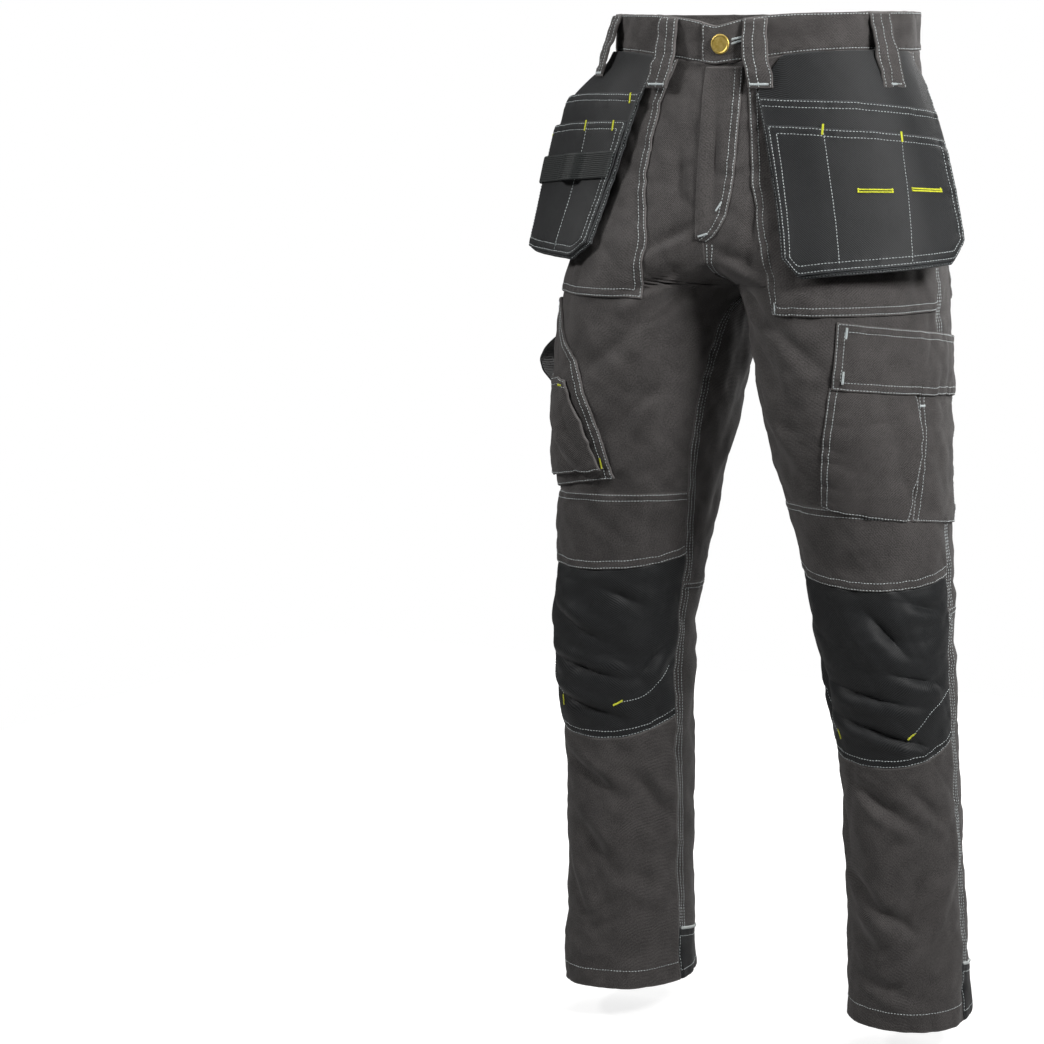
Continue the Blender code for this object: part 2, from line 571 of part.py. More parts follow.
def make_flat_pockets(twill):
    patch("front_patch_left", +1, FRONT_PATCHES[+1], 15, 13, twill, lift=SLACK_LIFT)
    patch("front_patch_right", -1, FRONT_PATCHES[-1], 15, 13, twill, lift=SLACK_LIFT)
    patch("cargo_pocket_front", +1, CARGO_FRONT, 7, 6, twill, swell=CARGO_SWELL)
    patch("cargo_pocket_rear", +1, CARGO_REAR, 8, 6, twill, swell=CARGO_SWELL)
    patch("cargo_flap", +1, CARGO_FLAP, 16, 4, twill, lift=CARGO_FLAP_LIFTS, swell=FLAP_SWELL)
    patch("ruler_pocket", -1, RULER_POCKET, 18, 9, twill, lift=SLACK_LIFT, swell=RULER_SWELL)
    lift = SLACK_LIFT + PATCH_LIFT + RULER_SWELL
    patch("ruler_pocket_lower", -1, RULER_LOWER, 13, 5, twill, lift=lift)
    patch("back_pocket_left", +1, BACK_POCKET_LEFT, 10, 7, twill, swell=SEAT_SWELL)
    patch("back_pocket_left_flap", +1, BACK_FLAP_LEFT, 11, 4, twill, lift=BACK_FLAP_LIFTS)
    patch("back_pocket_right", -1, BACK_POCKET_RIGHT, 10, 8, twill, swell=SEAT_SWELL)


# Holster pockets: panels hung from the waist seam, free at the sides and below

# Stations across a holster from its inner to its outer edge: share of the width, w at the waist,
# and the plan place (x, y) that its lower edge swings out to.
HOLSTER_COLUMNS = ("share", "w", "x", "y")
HOLSTERS = {
    +1: np.array([(0.00, 0.186, 0.095, -0.166), (0.31, 0.128, 0.146, -0.157),
                  (0.67, 0.063, 0.204, -0.112), (1.00, 0.000, 0.234, -0.055)]),
    -1: np.array([(0.00, 0.160, 0.130, -0.152), (0.33, 0.108, 0.180, -0.128),
                  (0.70, 0.052, 0.222, -0.085), (1.00, 0.000, 0.240, -0.046)]),
}
# Outline across the share: top, upper mouth, lower mouth and bottom heights.
HOLSTER_EDGE_COLUMNS = ("share", "top", "upper_mouth", "lower_mouth", "bottom")
HOLSTER_EDGES = {
    +1: np.array([(0.00, -0.062, -0.066, -0.093, -0.220), (0.11, -0.036, -0.067, -0.094, -0.240),
                  (0.22, -0.012, -0.068, -0.095, -0.238), (0.50, -0.012, -0.070, -0.099, -0.234),
                  (0.90, -0.012, -0.079, -0.108, -0.228), (1.00, -0.050, -0.082, -0.111, -0.205)]),
    -1: np.array([(0.00, -0.030, -0.062, -0.090, -0.212), (0.14, -0.012, -0.062, -0.090, -0.229),
                  (0.22, -0.012, -0.062, -0.090, -0.228), (0.50, -0.012, -0.064, -0.093, -0.226),
                  (0.90, -0.012, -0.070, -0.100, -0.222), (1.00, -0.050, -0.073, -0.103, -0.206)]),
}
HOLSTER_LIFT = SLACK_LIFT + CLEAR + PATCH_WALL + 0.0004
LAYER = PATCH_WALL + 0.0010
HOLSTER_SHARES = np.array([0.0, 0.11, 0.22, 0.33, 0.45, 0.56, 0.67, 0.79, 0.90, 1.0])
# How far a holster has swung out, by the depth under its top: the right one stands off at once.
HANG = {
    +1: np.array([(0.000, 0.00), (0.100, 0.48), (0.160, 0.76), (0.215, 1.00), (0.260, 1.15)]),
    -1: np.array([(0.000, 0.00), (0.014, 0.16), (0.030, 0.52), (0.046, 0.80), (0.075, 0.93),
                  (0.215, 1.00), (0.260, 1.02)]),
}


def holster_surface(side):
    """Hung panel: the cloth under it, moved out more and more towards the lower edge's plan."""
    table = HOLSTERS[side]

    def at(share, z):
        w = smooth(table, share, HOLSTER_COLUMNS.index("w"))
        base = cloth(side, w, z)
        foot = cloth(side, w, np.full(w.shape, HOLSTER_BOTTOM))
        plan_x = side * smooth(table, share, HOLSTER_COLUMNS.index("x"))
        plan_y = smooth(table, share, HOLSTER_COLUMNS.index("y"))
        fall = smooth(HANG[side], HOLSTER_TOP - z, 1)
        swing = np.stack([plan_x - foot[..., 0], plan_y - foot[..., 1], np.zeros(w.shape)], axis=-1)
        return base + swing * fall[..., None]
    return at


def holster_layer(name, side, edge, inset, lift, spans_down, finish, wall=PATCH_WALL, swell=0.0):
    """Layer of a holster from one of its edges down to the bottom edge."""
    table = HOLSTER_EDGES[side]
    share = np.clip(HOLSTER_SHARES, inset, 1 - inset)
    top = np.interp(share, table[:, 0], table[:, HOLSTER_EDGE_COLUMNS.index(edge)])
    bottom = np.interp(share, table[:, 0], table[:, HOLSTER_EDGE_COLUMNS.index("bottom")])
    w = smooth(HOLSTERS[side], share, HOLSTER_COLUMNS.index("w"))
    top = np.minimum(top, waist(w / half_length(0.0, True), "seam") - CLEAR)
    down = np.linspace(0, 1, spans_down + 1)[:, None]
    z = top * (1 - down) + (bottom + inset * 0.1) * down
    share = np.broadcast_to(share, z.shape)
    height = lift + swell * pillow(z.shape)
    return sheet(name, holster_surface(side), share, z, wall, finish, lift=height, sign=side)


def make_holsters(oxford, webbing):
    for side, tag in ((+1, "left"), (-1, "right")):
        holster_layer(f"holster_{tag}_backing", side, "top", 0.0, HOLSTER_LIFT, 9, oxford)
        holster_layer(f"holster_{tag}_upper", side, "upper_mouth", 0.012, HOLSTER_LIFT + LAYER, 7,
                      oxford)
        holster_layer(f"holster_{tag}_lower", side, "lower_mouth", 0.024, HOLSTER_LIFT + LAYER * 2, 6,
                      oxford)
    make_holster_webbing(webbing)


# Webbing across the right holster: share of its width and face height over the lower pocket.
WEBBING_STATIONS = np.array([(0.03, 0.0), (0.20, 0.0), (0.36, 0.0), (0.42, 0.006), (0.50, 0.009),
                             (0.58, 0.006), (0.64, 0.0), (0.82, 0.0), (0.97, 0.0)])


def make_holster_webbing(finish):
    """Band sewn down at its ends and standing off as one loop in the middle."""
    share = WEBBING_STATIONS[:, 0]
    middle = -0.130 - 0.012 * share
    z = middle + np.array([0.5, 0.0, -0.5])[:, None] * 0.027
    lift = HOLSTER_LIFT + LAYER * 2 + WEBBING_WALL + CLEAR + WEBBING_STATIONS[:, 1]
    share = np.broadcast_to(share, z.shape)
    sheet("holster_webbing_right", holster_surface(-1), share, z, WEBBING_WALL, finish,
          lift=np.broadcast_to(lift, z.shape), sign=-1)


# Loops and tab of webbing on the wearer's right side

def strip_round(name, side, z_middle, width, stations, finish, spans=14):
    """Band that leaves the surface, runs round level and comes back: stations are (w, face height)."""
    table = np.array([(k / (len(stations) - 1), w, lift) for k, (w, lift) in enumerate(stations)])
    share, z = np.meshgrid(np.linspace(0, 1, spans + 1), z_middle + np.array([0.5, 0, -0.5]) * width)

    def at(place, height):
        place = np.clip(place, 0, 1)
        w, lift = smooth(table, place, 1), smooth(table, place, 2)
        return cloth(side, w, height) + level_normal(side, w, height) * lift[..., None]

    return sheet(name, at, share, z, WEBBING_WALL, finish, sign=-side)


HAMMER_LOOP = ((-0.098, 0.0062), (-0.088, 0.0064), (-0.077, 0.0200), (-0.064, 0.0430), (-0.048, 0.0560),
               (-0.032, 0.0480), (-0.022, 0.0230), (-0.012, 0.0044), (-0.002, 0.0027))
TOOL_LOOP = ((-0.058, 0.0075), (-0.052, 0.0230), (-0.036, 0.0300), (-0.022, 0.0240), (-0.014, 0.0125),
             (-0.004, 0.0113))
STRAP_W = 0.020
STRAP_LIFTS = (0.0080, 0.0300, 0.0110)
STRAP_TOP, STRAP_FOOT, STRAP_WIDTH = -0.306, -0.372, 0.022
SNAP_RADIUS, SNAP_HEIGHT, SNAP_GAP = 0.0060, 0.0024, 0.0004
SNAP_PROFILE = ((1.0, 0.0), (1.0, 0.5), (0.75, 1.0))
HAMMER_LOOP_Z = -0.151
TOOL_LOOP_Z, TOOL_LOOP_WIDTH = -0.455, 0.020


def make_right_side(webbing, silver):
    strip_round("hammer_loop", -1, HAMMER_LOOP_Z, WEBBING_WIDTH, HAMMER_LOOP, webbing)
    strip_round("tool_loop", -1, TOOL_LOOP_Z, TOOL_LOOP_WIDTH, TOOL_LOOP, webbing, spans=12)
    strip_down("snap_strap", -1, STRAP_W, STRAP_WIDTH, STRAP_TOP, STRAP_FOOT, STRAP_LIFTS, webbing,
               WEBBING_WALL, spans=10)
    make_snap(silver)


def make_snap(finish):
    """Cap of the press stud, level on the strap's face where it stands out furthest."""
    start = STRAP_LIFTS[1] + SNAP_GAP
    turned_disc("snap_cap", -1, STRAP_W, (STRAP_TOP + STRAP_FOOT) / 2, start, SNAP_RADIUS,
                SNAP_HEIGHT, SNAP_PROFILE, 16, finish)


def main():
    for thing in list(bpy.data.objects):
        bpy.data.objects.remove(thing)
    twill = make_finish("charcoal_twill", (0.070, 0.063, 0.061), 0.85)
    oxford = make_finish("black_oxford", (0.019, 0.021, 0.023), 0.75)
    webbing = make_finish("black_webbing", (0.023, 0.027, 0.027), 0.70)
    trim = make_finish("pale_piping", (0.45, 0.50, 0.50), 0.60)
    brass = make_finish("brass", (0.55, 0.40, 0.08), 0.35, metallic=1.0)
    silver = make_finish("silver", (0.60, 0.60, 0.58), 0.30, metallic=1.0)
    for side in (+1, -1):
        make_waistband(side, twill)
        make_panels(side, twill, oxford, trim)
    make_fly_placket(twill)
    make_waist_button(brass)
    make_belt_loops(twill)
    make_flat_pockets(twill)
    make_holsters(oxford, webbing)
    make_right_side(webbing, silver)


main()
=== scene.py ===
# %% [markdown]
# # Work trousers with holster pockets
#
# The trousers stand open as if somebody wore them: a waistband, two legs, black pockets that hang
# in front of the hips, thigh pockets, black knee pads, and pale sewing everywhere. The packed
# solids give the size and the place of each cut piece. This script makes each piece again as
# cloth, with folds, seams, weave and thread, and puts it where its solid was.

# %% Start
import math

import bpy
import numpy as np
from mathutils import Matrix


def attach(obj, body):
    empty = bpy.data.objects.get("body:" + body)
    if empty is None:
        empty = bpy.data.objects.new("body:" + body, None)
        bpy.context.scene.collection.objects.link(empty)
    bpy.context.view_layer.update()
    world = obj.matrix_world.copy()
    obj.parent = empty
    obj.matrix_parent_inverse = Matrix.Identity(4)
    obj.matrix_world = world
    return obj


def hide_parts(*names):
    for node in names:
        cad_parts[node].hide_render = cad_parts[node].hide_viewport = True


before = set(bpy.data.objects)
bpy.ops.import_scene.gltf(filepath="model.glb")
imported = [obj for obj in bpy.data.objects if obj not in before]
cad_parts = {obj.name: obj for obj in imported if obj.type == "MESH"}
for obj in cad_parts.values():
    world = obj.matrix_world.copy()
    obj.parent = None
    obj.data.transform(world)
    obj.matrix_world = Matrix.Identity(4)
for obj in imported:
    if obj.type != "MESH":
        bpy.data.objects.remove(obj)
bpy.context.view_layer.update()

# %% [markdown]
# ## The form under the cloth
#
# Trousers on a body are tubes whose section changes slowly with height. A table of sections is
# enough: one row for each height, with how far the leg reaches in, out, forwards and back. A
# smooth curve through the rows gives every height between. Sculpting the form by hand would work
# too, but a table keeps both legs alike and keeps the cloth where the solids are.

# %% Sections of one leg
SECTION_COLUMNS = ("z", "x_in", "x_out", "y_front", "y_back", "lean", "inseam")
SECTIONS = np.array([
    (0.024, -0.160, 0.160, -0.118, 0.120, 0.000, 1.00),
    (-0.020, -0.159, 0.159, -0.119, 0.123, 0.000, 1.00),
    (-0.055, -0.162, 0.163, -0.124, 0.131, 0.000, 1.00),
    (-0.095, -0.160, 0.170, -0.131, 0.138, 0.000, 1.00),
    (-0.135, -0.148, 0.177, -0.138, 0.141, 0.000, 1.00),
    (-0.175, -0.112, 0.184, -0.145, 0.138, 0.000, 1.00),
    (-0.210, -0.060, 0.190, -0.151, 0.128, 0.000, 1.00),
    (-0.235, -0.021, 0.194, -0.154, 0.118, 0.000, 1.00),
    (-0.251, 0.000, 0.197, -0.155, 0.112, 0.000, 1.00),
    (-0.275, 0.010, 0.200, -0.156, 0.105, 0.000, 0.90),
    (-0.320, 0.018, 0.203, -0.156, 0.096, 0.000, 0.85),
    (-0.370, 0.026, 0.205, -0.153, 0.084, 0.000, 0.83),
    (-0.420, 0.037, 0.208, -0.143, 0.071, 0.000, 0.83),
    (-0.470, 0.049, 0.212, -0.129, 0.061, 0.002, 0.85),
    (-0.520, 0.060, 0.217, -0.117, 0.053, 0.004, 0.88),
    (-0.570, 0.069, 0.219, -0.107, 0.050, 0.006, 0.89),
    (-0.620, 0.078, 0.220, -0.100, 0.048, 0.008, 0.90),
    (-0.665, 0.084, 0.220, -0.092, 0.050, 0.009, 0.90),
    (-0.710, 0.087, 0.220, -0.085, 0.057, 0.009, 0.90),
    (-0.760, 0.092, 0.219, -0.077, 0.064, 0.009, 0.90),
    (-0.820, 0.095, 0.221, -0.071, 0.070, 0.009, 0.91),
    (-0.880, 0.097, 0.223, -0.067, 0.073, 0.009, 0.91),
    (-0.940, 0.098, 0.226, -0.066, 0.076, 0.009, 0.92),
    (-1.020, 0.096, 0.230, -0.067, 0.079, 0.009, 0.92),
])
WAIST_COLUMNS = ("t", "seam", "top")
WAIST = np.array([
    (-1.00, -0.015, 0.023), (-0.50, -0.016, 0.022), (0.00, -0.018, 0.021), (0.45, -0.018, 0.019),
    (0.71, -0.023, 0.017), (0.87, -0.028, 0.013), (1.00, -0.032, 0.006), (1.20, -0.032, 0.006),
])
CROSS_SEAMS = {             # heights at the side seam, half way, and at the centre seam or inseam
    "yoke": (-0.096, -0.098, -0.100),
    "band_top": (-0.479, -0.469, -0.470),
    "pad_top": (-0.542, -0.552, -0.538),
    "pad_bottom": (-0.715, -0.739, -0.719),
    "back_knee": (-0.577, -0.579, -0.570),
    "hem_band": (-0.958, -0.975, -0.962),
    "hem": (-1.020, -1.020, -1.020),
}
SPLAY, SPLAY_FROM, SPLAY_RUN = 0.0055, -0.440, 0.300
CROTCH_Z, FORK_RADIUS, ROUNDNESS = -0.251, 0.022, 2.15
print("sections:", len(SECTIONS), "from", SECTIONS[0, 0], "to", SECTIONS[-1, 0])


# %% A smooth curve through a table
def smooth(table, key, column):
    """Cubic through the rows of a table; the slope at a row is the mean of its two neighbours'."""
    order = np.argsort(table[:, 0])
    knots, values = table[order, 0], table[order, column]
    gaps = np.diff(knots)
    rises = np.diff(values) / gaps
    slopes = np.empty_like(values)
    slopes[0], slopes[-1] = rises[0], rises[-1]
    slopes[1:-1] = (rises[:-1] * gaps[1:] + rises[1:] * gaps[:-1]) / (gaps[:-1] + gaps[1:])
    key = np.clip(key, knots[0], knots[-1])
    row = np.clip(np.searchsorted(knots, key) - 1, 0, len(gaps) - 1)
    f, gap = (key - knots[row]) / gaps[row], gaps[row]
    ends = (2 * f**3 - 3 * f**2 + 1) * values[row] + (3 * f**2 - 2 * f**3) * values[row + 1]
    bends = (f**3 - 2 * f**2 + f) * slopes[row] + (f**3 - f**2) * slopes[row + 1]
    return ends + bends * gap


def section(z, name):
    return smooth(SECTIONS, z, SECTION_COLUMNS.index(name))


def waist(t, name):
    return smooth(WAIST, t, WAIST_COLUMNS.index(name))


def splay(side, z):
    """Level shift that swings the right leg out a little, eased in from the thigh down."""
    f = np.clip((SPLAY_FROM - z) / SPLAY_RUN, 0, 1)
    return SPLAY * f * f * (3 - 2 * f) * (np.asarray(side) < 0)


# %% [markdown]
# ## From a flat cut to a place in the air
#
# A tailor thinks in lengths along the cloth, so the form is read in the same way: w is the length
# from the side seam along the section, forwards as plus, and z is the height. Each section is a
# curve between an ellipse and a rounded box. Over the crotch it is cut at the centre, with a
# little filling in the fork. The sections are measured once and kept in a grid, and a place is
# read out of the grid between its four nearest points. That is fast enough for fine cloth.

# %% The measured grid
GRID_Z = np.linspace(0.0255, -1.0215, 700)
GRID_SHARES = 401


def half_section(z, front, samples=601):
    """Half a section as x and y: x runs on a power of cosine, y on the same power of sine."""
    z = z[:, None]
    x_in, x_out = section(z, "x_in"), section(z, "x_out")
    y_front, y_back = section(z, "y_front"), section(z, "y_back")
    middle, half_width = (x_in + x_out) / 2, (x_out - x_in) / 2
    centre, depth = (y_front + y_back) / 2, (y_back - y_front) / 2
    cut = -np.clip(middle / half_width, 0, 1) ** (ROUNDNESS / 2)
    end = np.where(x_in < 0, np.arccos(np.clip(cut, -1, 1)), np.pi)
    turn = end * np.linspace(0, 1, samples)[None, :]
    along, across = np.cos(turn), np.sin(turn)
    x = middle + half_width * np.sign(along) * np.abs(along) ** (2 / ROUNDNESS)
    reach = depth * np.abs(across) ** (2 / ROUNDNESS)
    slope = depth * np.abs(np.cos(end)) / (half_width * np.maximum(np.sin(end), 0.15))
    fill = FORK_RADIUS * np.minimum(slope, 1.2) * np.minimum(1, np.sin(end) / 0.6)
    reach = reach + np.where(x_in < 0, fill, 0) * np.exp(-np.abs(x) / FORK_RADIUS)
    y = centre + (-reach if front else reach) - section(z, "lean") * (x - middle) / half_width
    return x, y


def measure_half(front):
    """Grid of plan points at equal shares of each half section's length, and the lengths."""
    x, y = half_section(GRID_Z, front)
    run = np.concatenate([np.zeros((len(x), 1)),
                          np.hypot(np.diff(x, axis=1), np.diff(y, axis=1)).cumsum(axis=1)], axis=1)
    share = np.linspace(0, 1, GRID_SHARES)
    plan = np.stack([np.stack([np.interp(share * r[-1], r, a), np.interp(share * r[-1], r, b)], axis=-1)
                     for r, a, b in zip(run, x, y)])
    return plan, run[:, -1]


FRONT_PLAN, FRONT_LENGTH = measure_half(True)
BACK_PLAN, BACK_LENGTH = measure_half(False)


def half_length(z, front):
    return np.interp(z, GRID_Z[::-1], (FRONT_LENGTH if front else BACK_LENGTH)[::-1])


print("half waist", round(float(half_length(0, True)), 3), "half hem", round(float(half_length(-1.02, True)), 3))



# %% [markdown]
# ## Folds
#
# Cloth on legs is never a clean tube. Deep folds gather behind the knees and under the seat, soft
# ones run slantwise over the thighs and shins, and the whole cloth is a little uneven. They could
# come from a cloth simulation, but then no fold would be where the real pair has it. So each fold
# is a line on the cut with a width and a height: a trough with a lower ridge beside it. The folds
# are added up once on the measured grid, and every piece reads the same folded cloth, so that
# pieces that meet at a seam still meet.

# %% Fold lines
BROAD_FOLDS = np.array([    # side, w, z, tilt in degrees, half length, half width, height
    (+1, 0.285, -0.262, -38, 0.055, 0.020, 0.0040), (-1, 0.285, -0.262, -38, 0.055, 0.020, 0.0040),
    (+1, -0.240, -0.290, 30, 0.070, 0.022, 0.0045), (-1, -0.240, -0.290, 30, 0.070, 0.022, 0.0045),
    (+1, -0.170, -0.330, 12, 0.075, 0.024, -0.0040), (-1, -0.150, -0.340, 8, 0.075, 0.024, -0.0035),
    (+1, -0.150, -0.612, 6, 0.080, 0.018, -0.0055), (-1, -0.140, -0.618, -6, 0.080, 0.018, -0.0055),
    (+1, -0.120, -0.655, -10, 0.070, 0.020, 0.0045), (-1, -0.130, -0.660, 10, 0.070, 0.020, 0.0045),
    (+1, 0.105, -0.850, 84, 0.110, 0.020, 0.0050), (-1, 0.120, -0.850, 96, 0.110, 0.020, 0.0050),
    (+1, -0.120, -0.830, 86, 0.120, 0.024, 0.0045), (-1, -0.110, -0.830, 94, 0.120, 0.024, 0.0045),
])
FOLD_LINES = np.array([     # side, then in mm: w and z of one end, w and z of the other, width, height
    # left knee
    (+1, 106, -572, 62, -618, 9, -3.4), (+1, 128, -584, 88, -634, 10, 2.2),
    (+1, 150, -654, 64, -670, 7, -3.0), (+1, 142, -688, 40, -716, 6, -3.6),
    (+1, 82, -636, 20, -652, 7, -2.6), (+1, 172, -636, 163, -694, 6, -2.4),
    (+1, 60, -566, 20, -578, 6, -1.8),
    # left shin
    (+1, 128, -758, 62, -800, 9, -3.4), (+1, 64, -762, 22, -804, 8, -3.0),
    (+1, 152, -862, 108, -884, 9, -3.0), (+1, 114, -884, 66, -914, 9, -3.2),
    (+1, 142, -898, 92, -926, 11, 2.4), (+1, 36, -800, 88, -930, 14, -2.4),
    (+1, 20, -860, 60, -950, 12, 2.4), (+1, 152, -962, 60, -986, 9, -1.8),
    (+1, 180, -770, 150, -840, 11, -2.4),
    # left thigh and fork
    (+1, 232, -60, 262, -186, 7, -2.6), (+1, 206, -160, 236, -236, 9, -2.6),
    (+1, 262, -214, 198, -240, 9, -3.4), (+1, 272, -246, 214, -288, 9, -3.4),
    (+1, 204, -290, 154, -330, 10, -2.2), (+1, 250, -304, 196, -356, 12, -3.0),
    (+1, 232, -364, 178, -424, 12, 2.2), (+1, 150, -90, 60, -130, 14, -1.6),
    (+1, 130, -180, 40, -215, 14, -1.6),
    # right knee
    (-1, 60, -598, 122, -632, 9, -3.0), (-1, 48, -650, 132, -670, 7, -3.0),
    (-1, 44, -690, 132, -714, 7, -3.0), (-1, 184, -636, 150, -672, 7, -2.4),
    (-1, 120, -570, 170, -590, 8, -2.0),
    # right shin
    (-1, 58, -762, 122, -802, 9, -3.0), (-1, 132, -774, 184, -834, 10, -2.6),
    (-1, 66, -828, 122, -892, 11, -2.6), (-1, 122, -900, 172, -932, 11, 2.4),
    (-1, 48, -880, 92, -952, 10, -2.2),
    # right thigh and fork
    (-1, 258, -190, 214, -214, 7, -3.2), (-1, 268, -226, 196, -262, 8, -3.6),
    (-1, 210, -110, 240, -176, 8, -2.2), (-1, 272, -246, 214, -288, 9, -3.2),
    (-1, 204, -298, 150, -342, 11, -2.6), (-1, 236, -336, 168, -404, 12, -2.8),
    (-1, 210, -420, 150, -452, 12, 2.0), (-1, 40, -374, 132, -452, 10, -2.6),
    # seat, backs of the thighs, knees and calves, both sides
    (+1, -244, -150, -198, -232, 14, -2.4), (-1, -240, -156, -196, -236, 14, -2.2),
    (+1, -150, -292, -60, -334, 12, -2.8), (-1, -140, -300, -54, -344, 12, -2.8),
    (+1, -226, -300, -116, -352, 12, -3.2), (-1, -232, -306, -122, -362, 12, -3.2),
    (+1, -60, -382, -142, -424, 13, -2.6), (-1, -66, -394, -150, -430, 13, -2.6),
    (+1, -190, -452, -90, -500, 13, -2.6), (-1, -180, -462, -84, -506, 13, -2.6),
    (+1, -36, -556, -132, -592, 8, -3.6), (-1, -40, -560, -128, -596, 8, -3.6),
    (+1, -206, -560, -118, -604, 8, -3.6), (-1, -204, -566, -124, -610, 8, -3.6),
    (+1, -48, -622, -152, -652, 9, -3.2), (-1, -52, -628, -148, -660, 9, -3.2),
    (+1, -58, -690, -152, -670, 10, -2.8), (-1, -62, -700, -156, -680, 10, -2.8),
    (+1, -58, -758, -92, -866, 12, -2.8), (-1, -64, -762, -88, -872, 12, -2.8),
    (+1, -142, -742, -162, -864, 12, -2.8), (-1, -136, -748, -158, -870, 12, -2.8),
    (+1, -48, -900, -122, -944, 10, -2.4), (-1, -52, -896, -118, -940, 10, -2.4),
])


FOLD_DEPTH = 2.15


def fold_table():
    """Both tables in one form: side, centre, direction, half length, half width, height, ridge share."""
    side, w, z, tilt, length, width, height = BROAD_FOLDS.T
    tilt = np.radians(tilt)
    broad = np.stack([side, w, z, np.cos(tilt), np.sin(tilt), length, width, height, 0 * side], axis=1)
    line = FOLD_LINES * np.array([1] + [0.001] * 6)
    run = line[:, 3:5] - line[:, 1:3]
    reach = np.linalg.norm(run, axis=1)
    fine = np.column_stack([line[:, 0], (line[:, 1:3] + line[:, 3:5]) / 2, run / reach[:, None],
                            reach * 0.46, line[:, 5] * 0.85, line[:, 6] * FOLD_DEPTH, np.full(len(line), 0.55)])
    return np.concatenate([broad, fine])


print("folds:", len(fold_table()))


# %% The folded form
def fold_sum(side, w, z, mirrored, turned):
    """Adds up the folds: a bell along the line times a bell across it, less a lower bell beside it.
    A fold near a seam also reaches the cloth past it, on the other side or round the leg."""
    total = np.zeros(w.shape)
    for leg, fw, fz, c, s, length, width, height, ridge in fold_table():
        for place in ((w, turned) if leg == side else (mirrored,)):
            dw, dz = place - fw, z - fz
            near = (np.abs(dz) < 3 * (length + width)) & (np.abs(dw) < 3 * (length + width))
            along = (dw[near] * c + dz[near] * s) / length
            across = (dz[near] * c - dw[near] * s) / width
            shape = np.exp(-np.abs(across) ** (2 - ridge)) - ridge * np.exp(-(across - 1.7) ** 2)
            total[near] += height * np.exp(-along**2) * shape
    return total


def unevenness(side, w, z, free):
    """Sum of slanting waves with fixed random lengths, directions and phases, and of narrow creases
    along bent lines, faded out at seams."""
    chance = np.random.default_rng(11 if side > 0 else 12)
    total = np.zeros(w.shape)
    for wave in np.concatenate([chance.uniform(0.035, 0.10, 16), chance.uniform(0.014, 0.028, 12)]):
        turn, phase = chance.uniform(0, math.pi), chance.uniform(0, 2 * math.pi)
        total += 0.0046 * wave * np.sin((w * math.cos(turn) + z * math.sin(turn)) * 2 * math.pi / wave + phase)
    for wave in chance.uniform(0.06, 0.13, 9):
        turn, phase = chance.uniform(-0.9, 0.9), chance.uniform(0, 2 * math.pi)
        bend = 0.8 * np.sin(w * 31 + phase) + 0.6 * np.sin(z * 23 + 2 * phase)
        line = np.abs(np.sin((w * math.sin(turn) + z * math.cos(turn)) * math.pi / wave + bend + phase))
        total -= 0.0085 * wave * np.exp(-(line / 0.16) ** 2) * (0.5 + 0.5 * np.sin(w * 17 + z * 11 + phase))
    return total * np.clip(free / 0.02, 0, 1)


def folded_half(side, front, share=1.0):
    """The measured grid of one half, mirrored to its side, and moved level away from the leg's axis
    by a share of the folds."""
    z = GRID_Z[:, None] * np.ones(GRID_SHARES)
    sign = 1 if front else -1
    length, other = half_length(z, front), half_length(z, not front)
    w = sign * length * np.linspace(0, 1, GRID_SHARES)
    is_torso = z > CROTCH_Z
    mirrored = np.where(is_torso, sign * 2 * length - w, 9.0)
    turned = np.where(is_torso, 9.0, w - sign * (length + other))
    away_from_end = np.minimum(length - np.abs(w), 0.02 + np.abs(w))
    rise = fold_sum(side, w, z, mirrored, turned) + unevenness(side, w, z, away_from_end)
    plan = (FRONT_PLAN if front else BACK_PLAN).copy()
    plan[..., 0] = (plan[..., 0] + splay(side, z)) * side
    middle = (np.maximum((section(z, "x_in") + section(z, "x_out")) / 2, 0) + splay(side, z)) * side
    centre = (section(z, "y_front") + section(z, "y_back")) / 2
    away = plan - np.stack([middle, centre], axis=-1)
    away /= np.maximum(np.linalg.norm(away, axis=-1, keepdims=True), 1e-6)
    return plan + away * share * rise[..., None]


FORM = {(side, front): folded_half(side, front) for side in (1, -1) for front in (True, False)}
TAUT_FORM = {(side, front): folded_half(side, front, 0.12) for side, front in FORM}
print("grid of the folded form:", FORM[1, True].shape)


# %% A place on the cloth
def cloth(side, w, z, form=FORM):
    """Point at (w, z): the grid's four nearest points, weighted by nearness. Past the centre seam w
    runs on to the other side, and past the inseam to the other half of the leg."""
    side, w, z = np.broadcast_arrays(np.asarray(side, float), np.asarray(w, float), np.asarray(z, float))
    shape = w.shape
    mirror, w, z = side.ravel().copy(), w.ravel().copy(), z.ravel()
    for sign, front in ((1, True), (-1, False)):
        length, other = half_length(z, front), half_length(z, not front)
        past = sign * w > length
        torso, leg = past & (z > CROTCH_Z), past & (z <= CROTCH_Z)
        mirror[torso] *= -1
        w[leg] = -sign * (other[leg] - (sign * w[leg] - length[leg]))
        w[torso] = sign * (2 * length[torso] - sign * w[torso])
    plan = np.zeros((len(w), 2))
    row = np.clip((GRID_Z[0] - z) / (GRID_Z[0] - GRID_Z[1]), 0, len(GRID_Z) - 1.001)
    for (leg, front), table in form.items():
        here = (mirror == leg) & ((w >= 0) == front)
        column = np.abs(w[here]) / half_length(z[here], front) * (GRID_SHARES - 1)
        column = np.clip(column, 0, GRID_SHARES - 1.001)
        i, j = row[here].astype(int), column.astype(int)
        a, b = (row[here] - i)[:, None], (column - j)[:, None]
        plan[here] = ((table[i, j] * (1 - b) + table[i, j + 1] * b) * (1 - a)
                      + (table[i + 1, j] * (1 - b) + table[i + 1, j + 1] * b) * a)
    return np.concatenate([plan, z[:, None]], axis=1).reshape(shape + (3,))


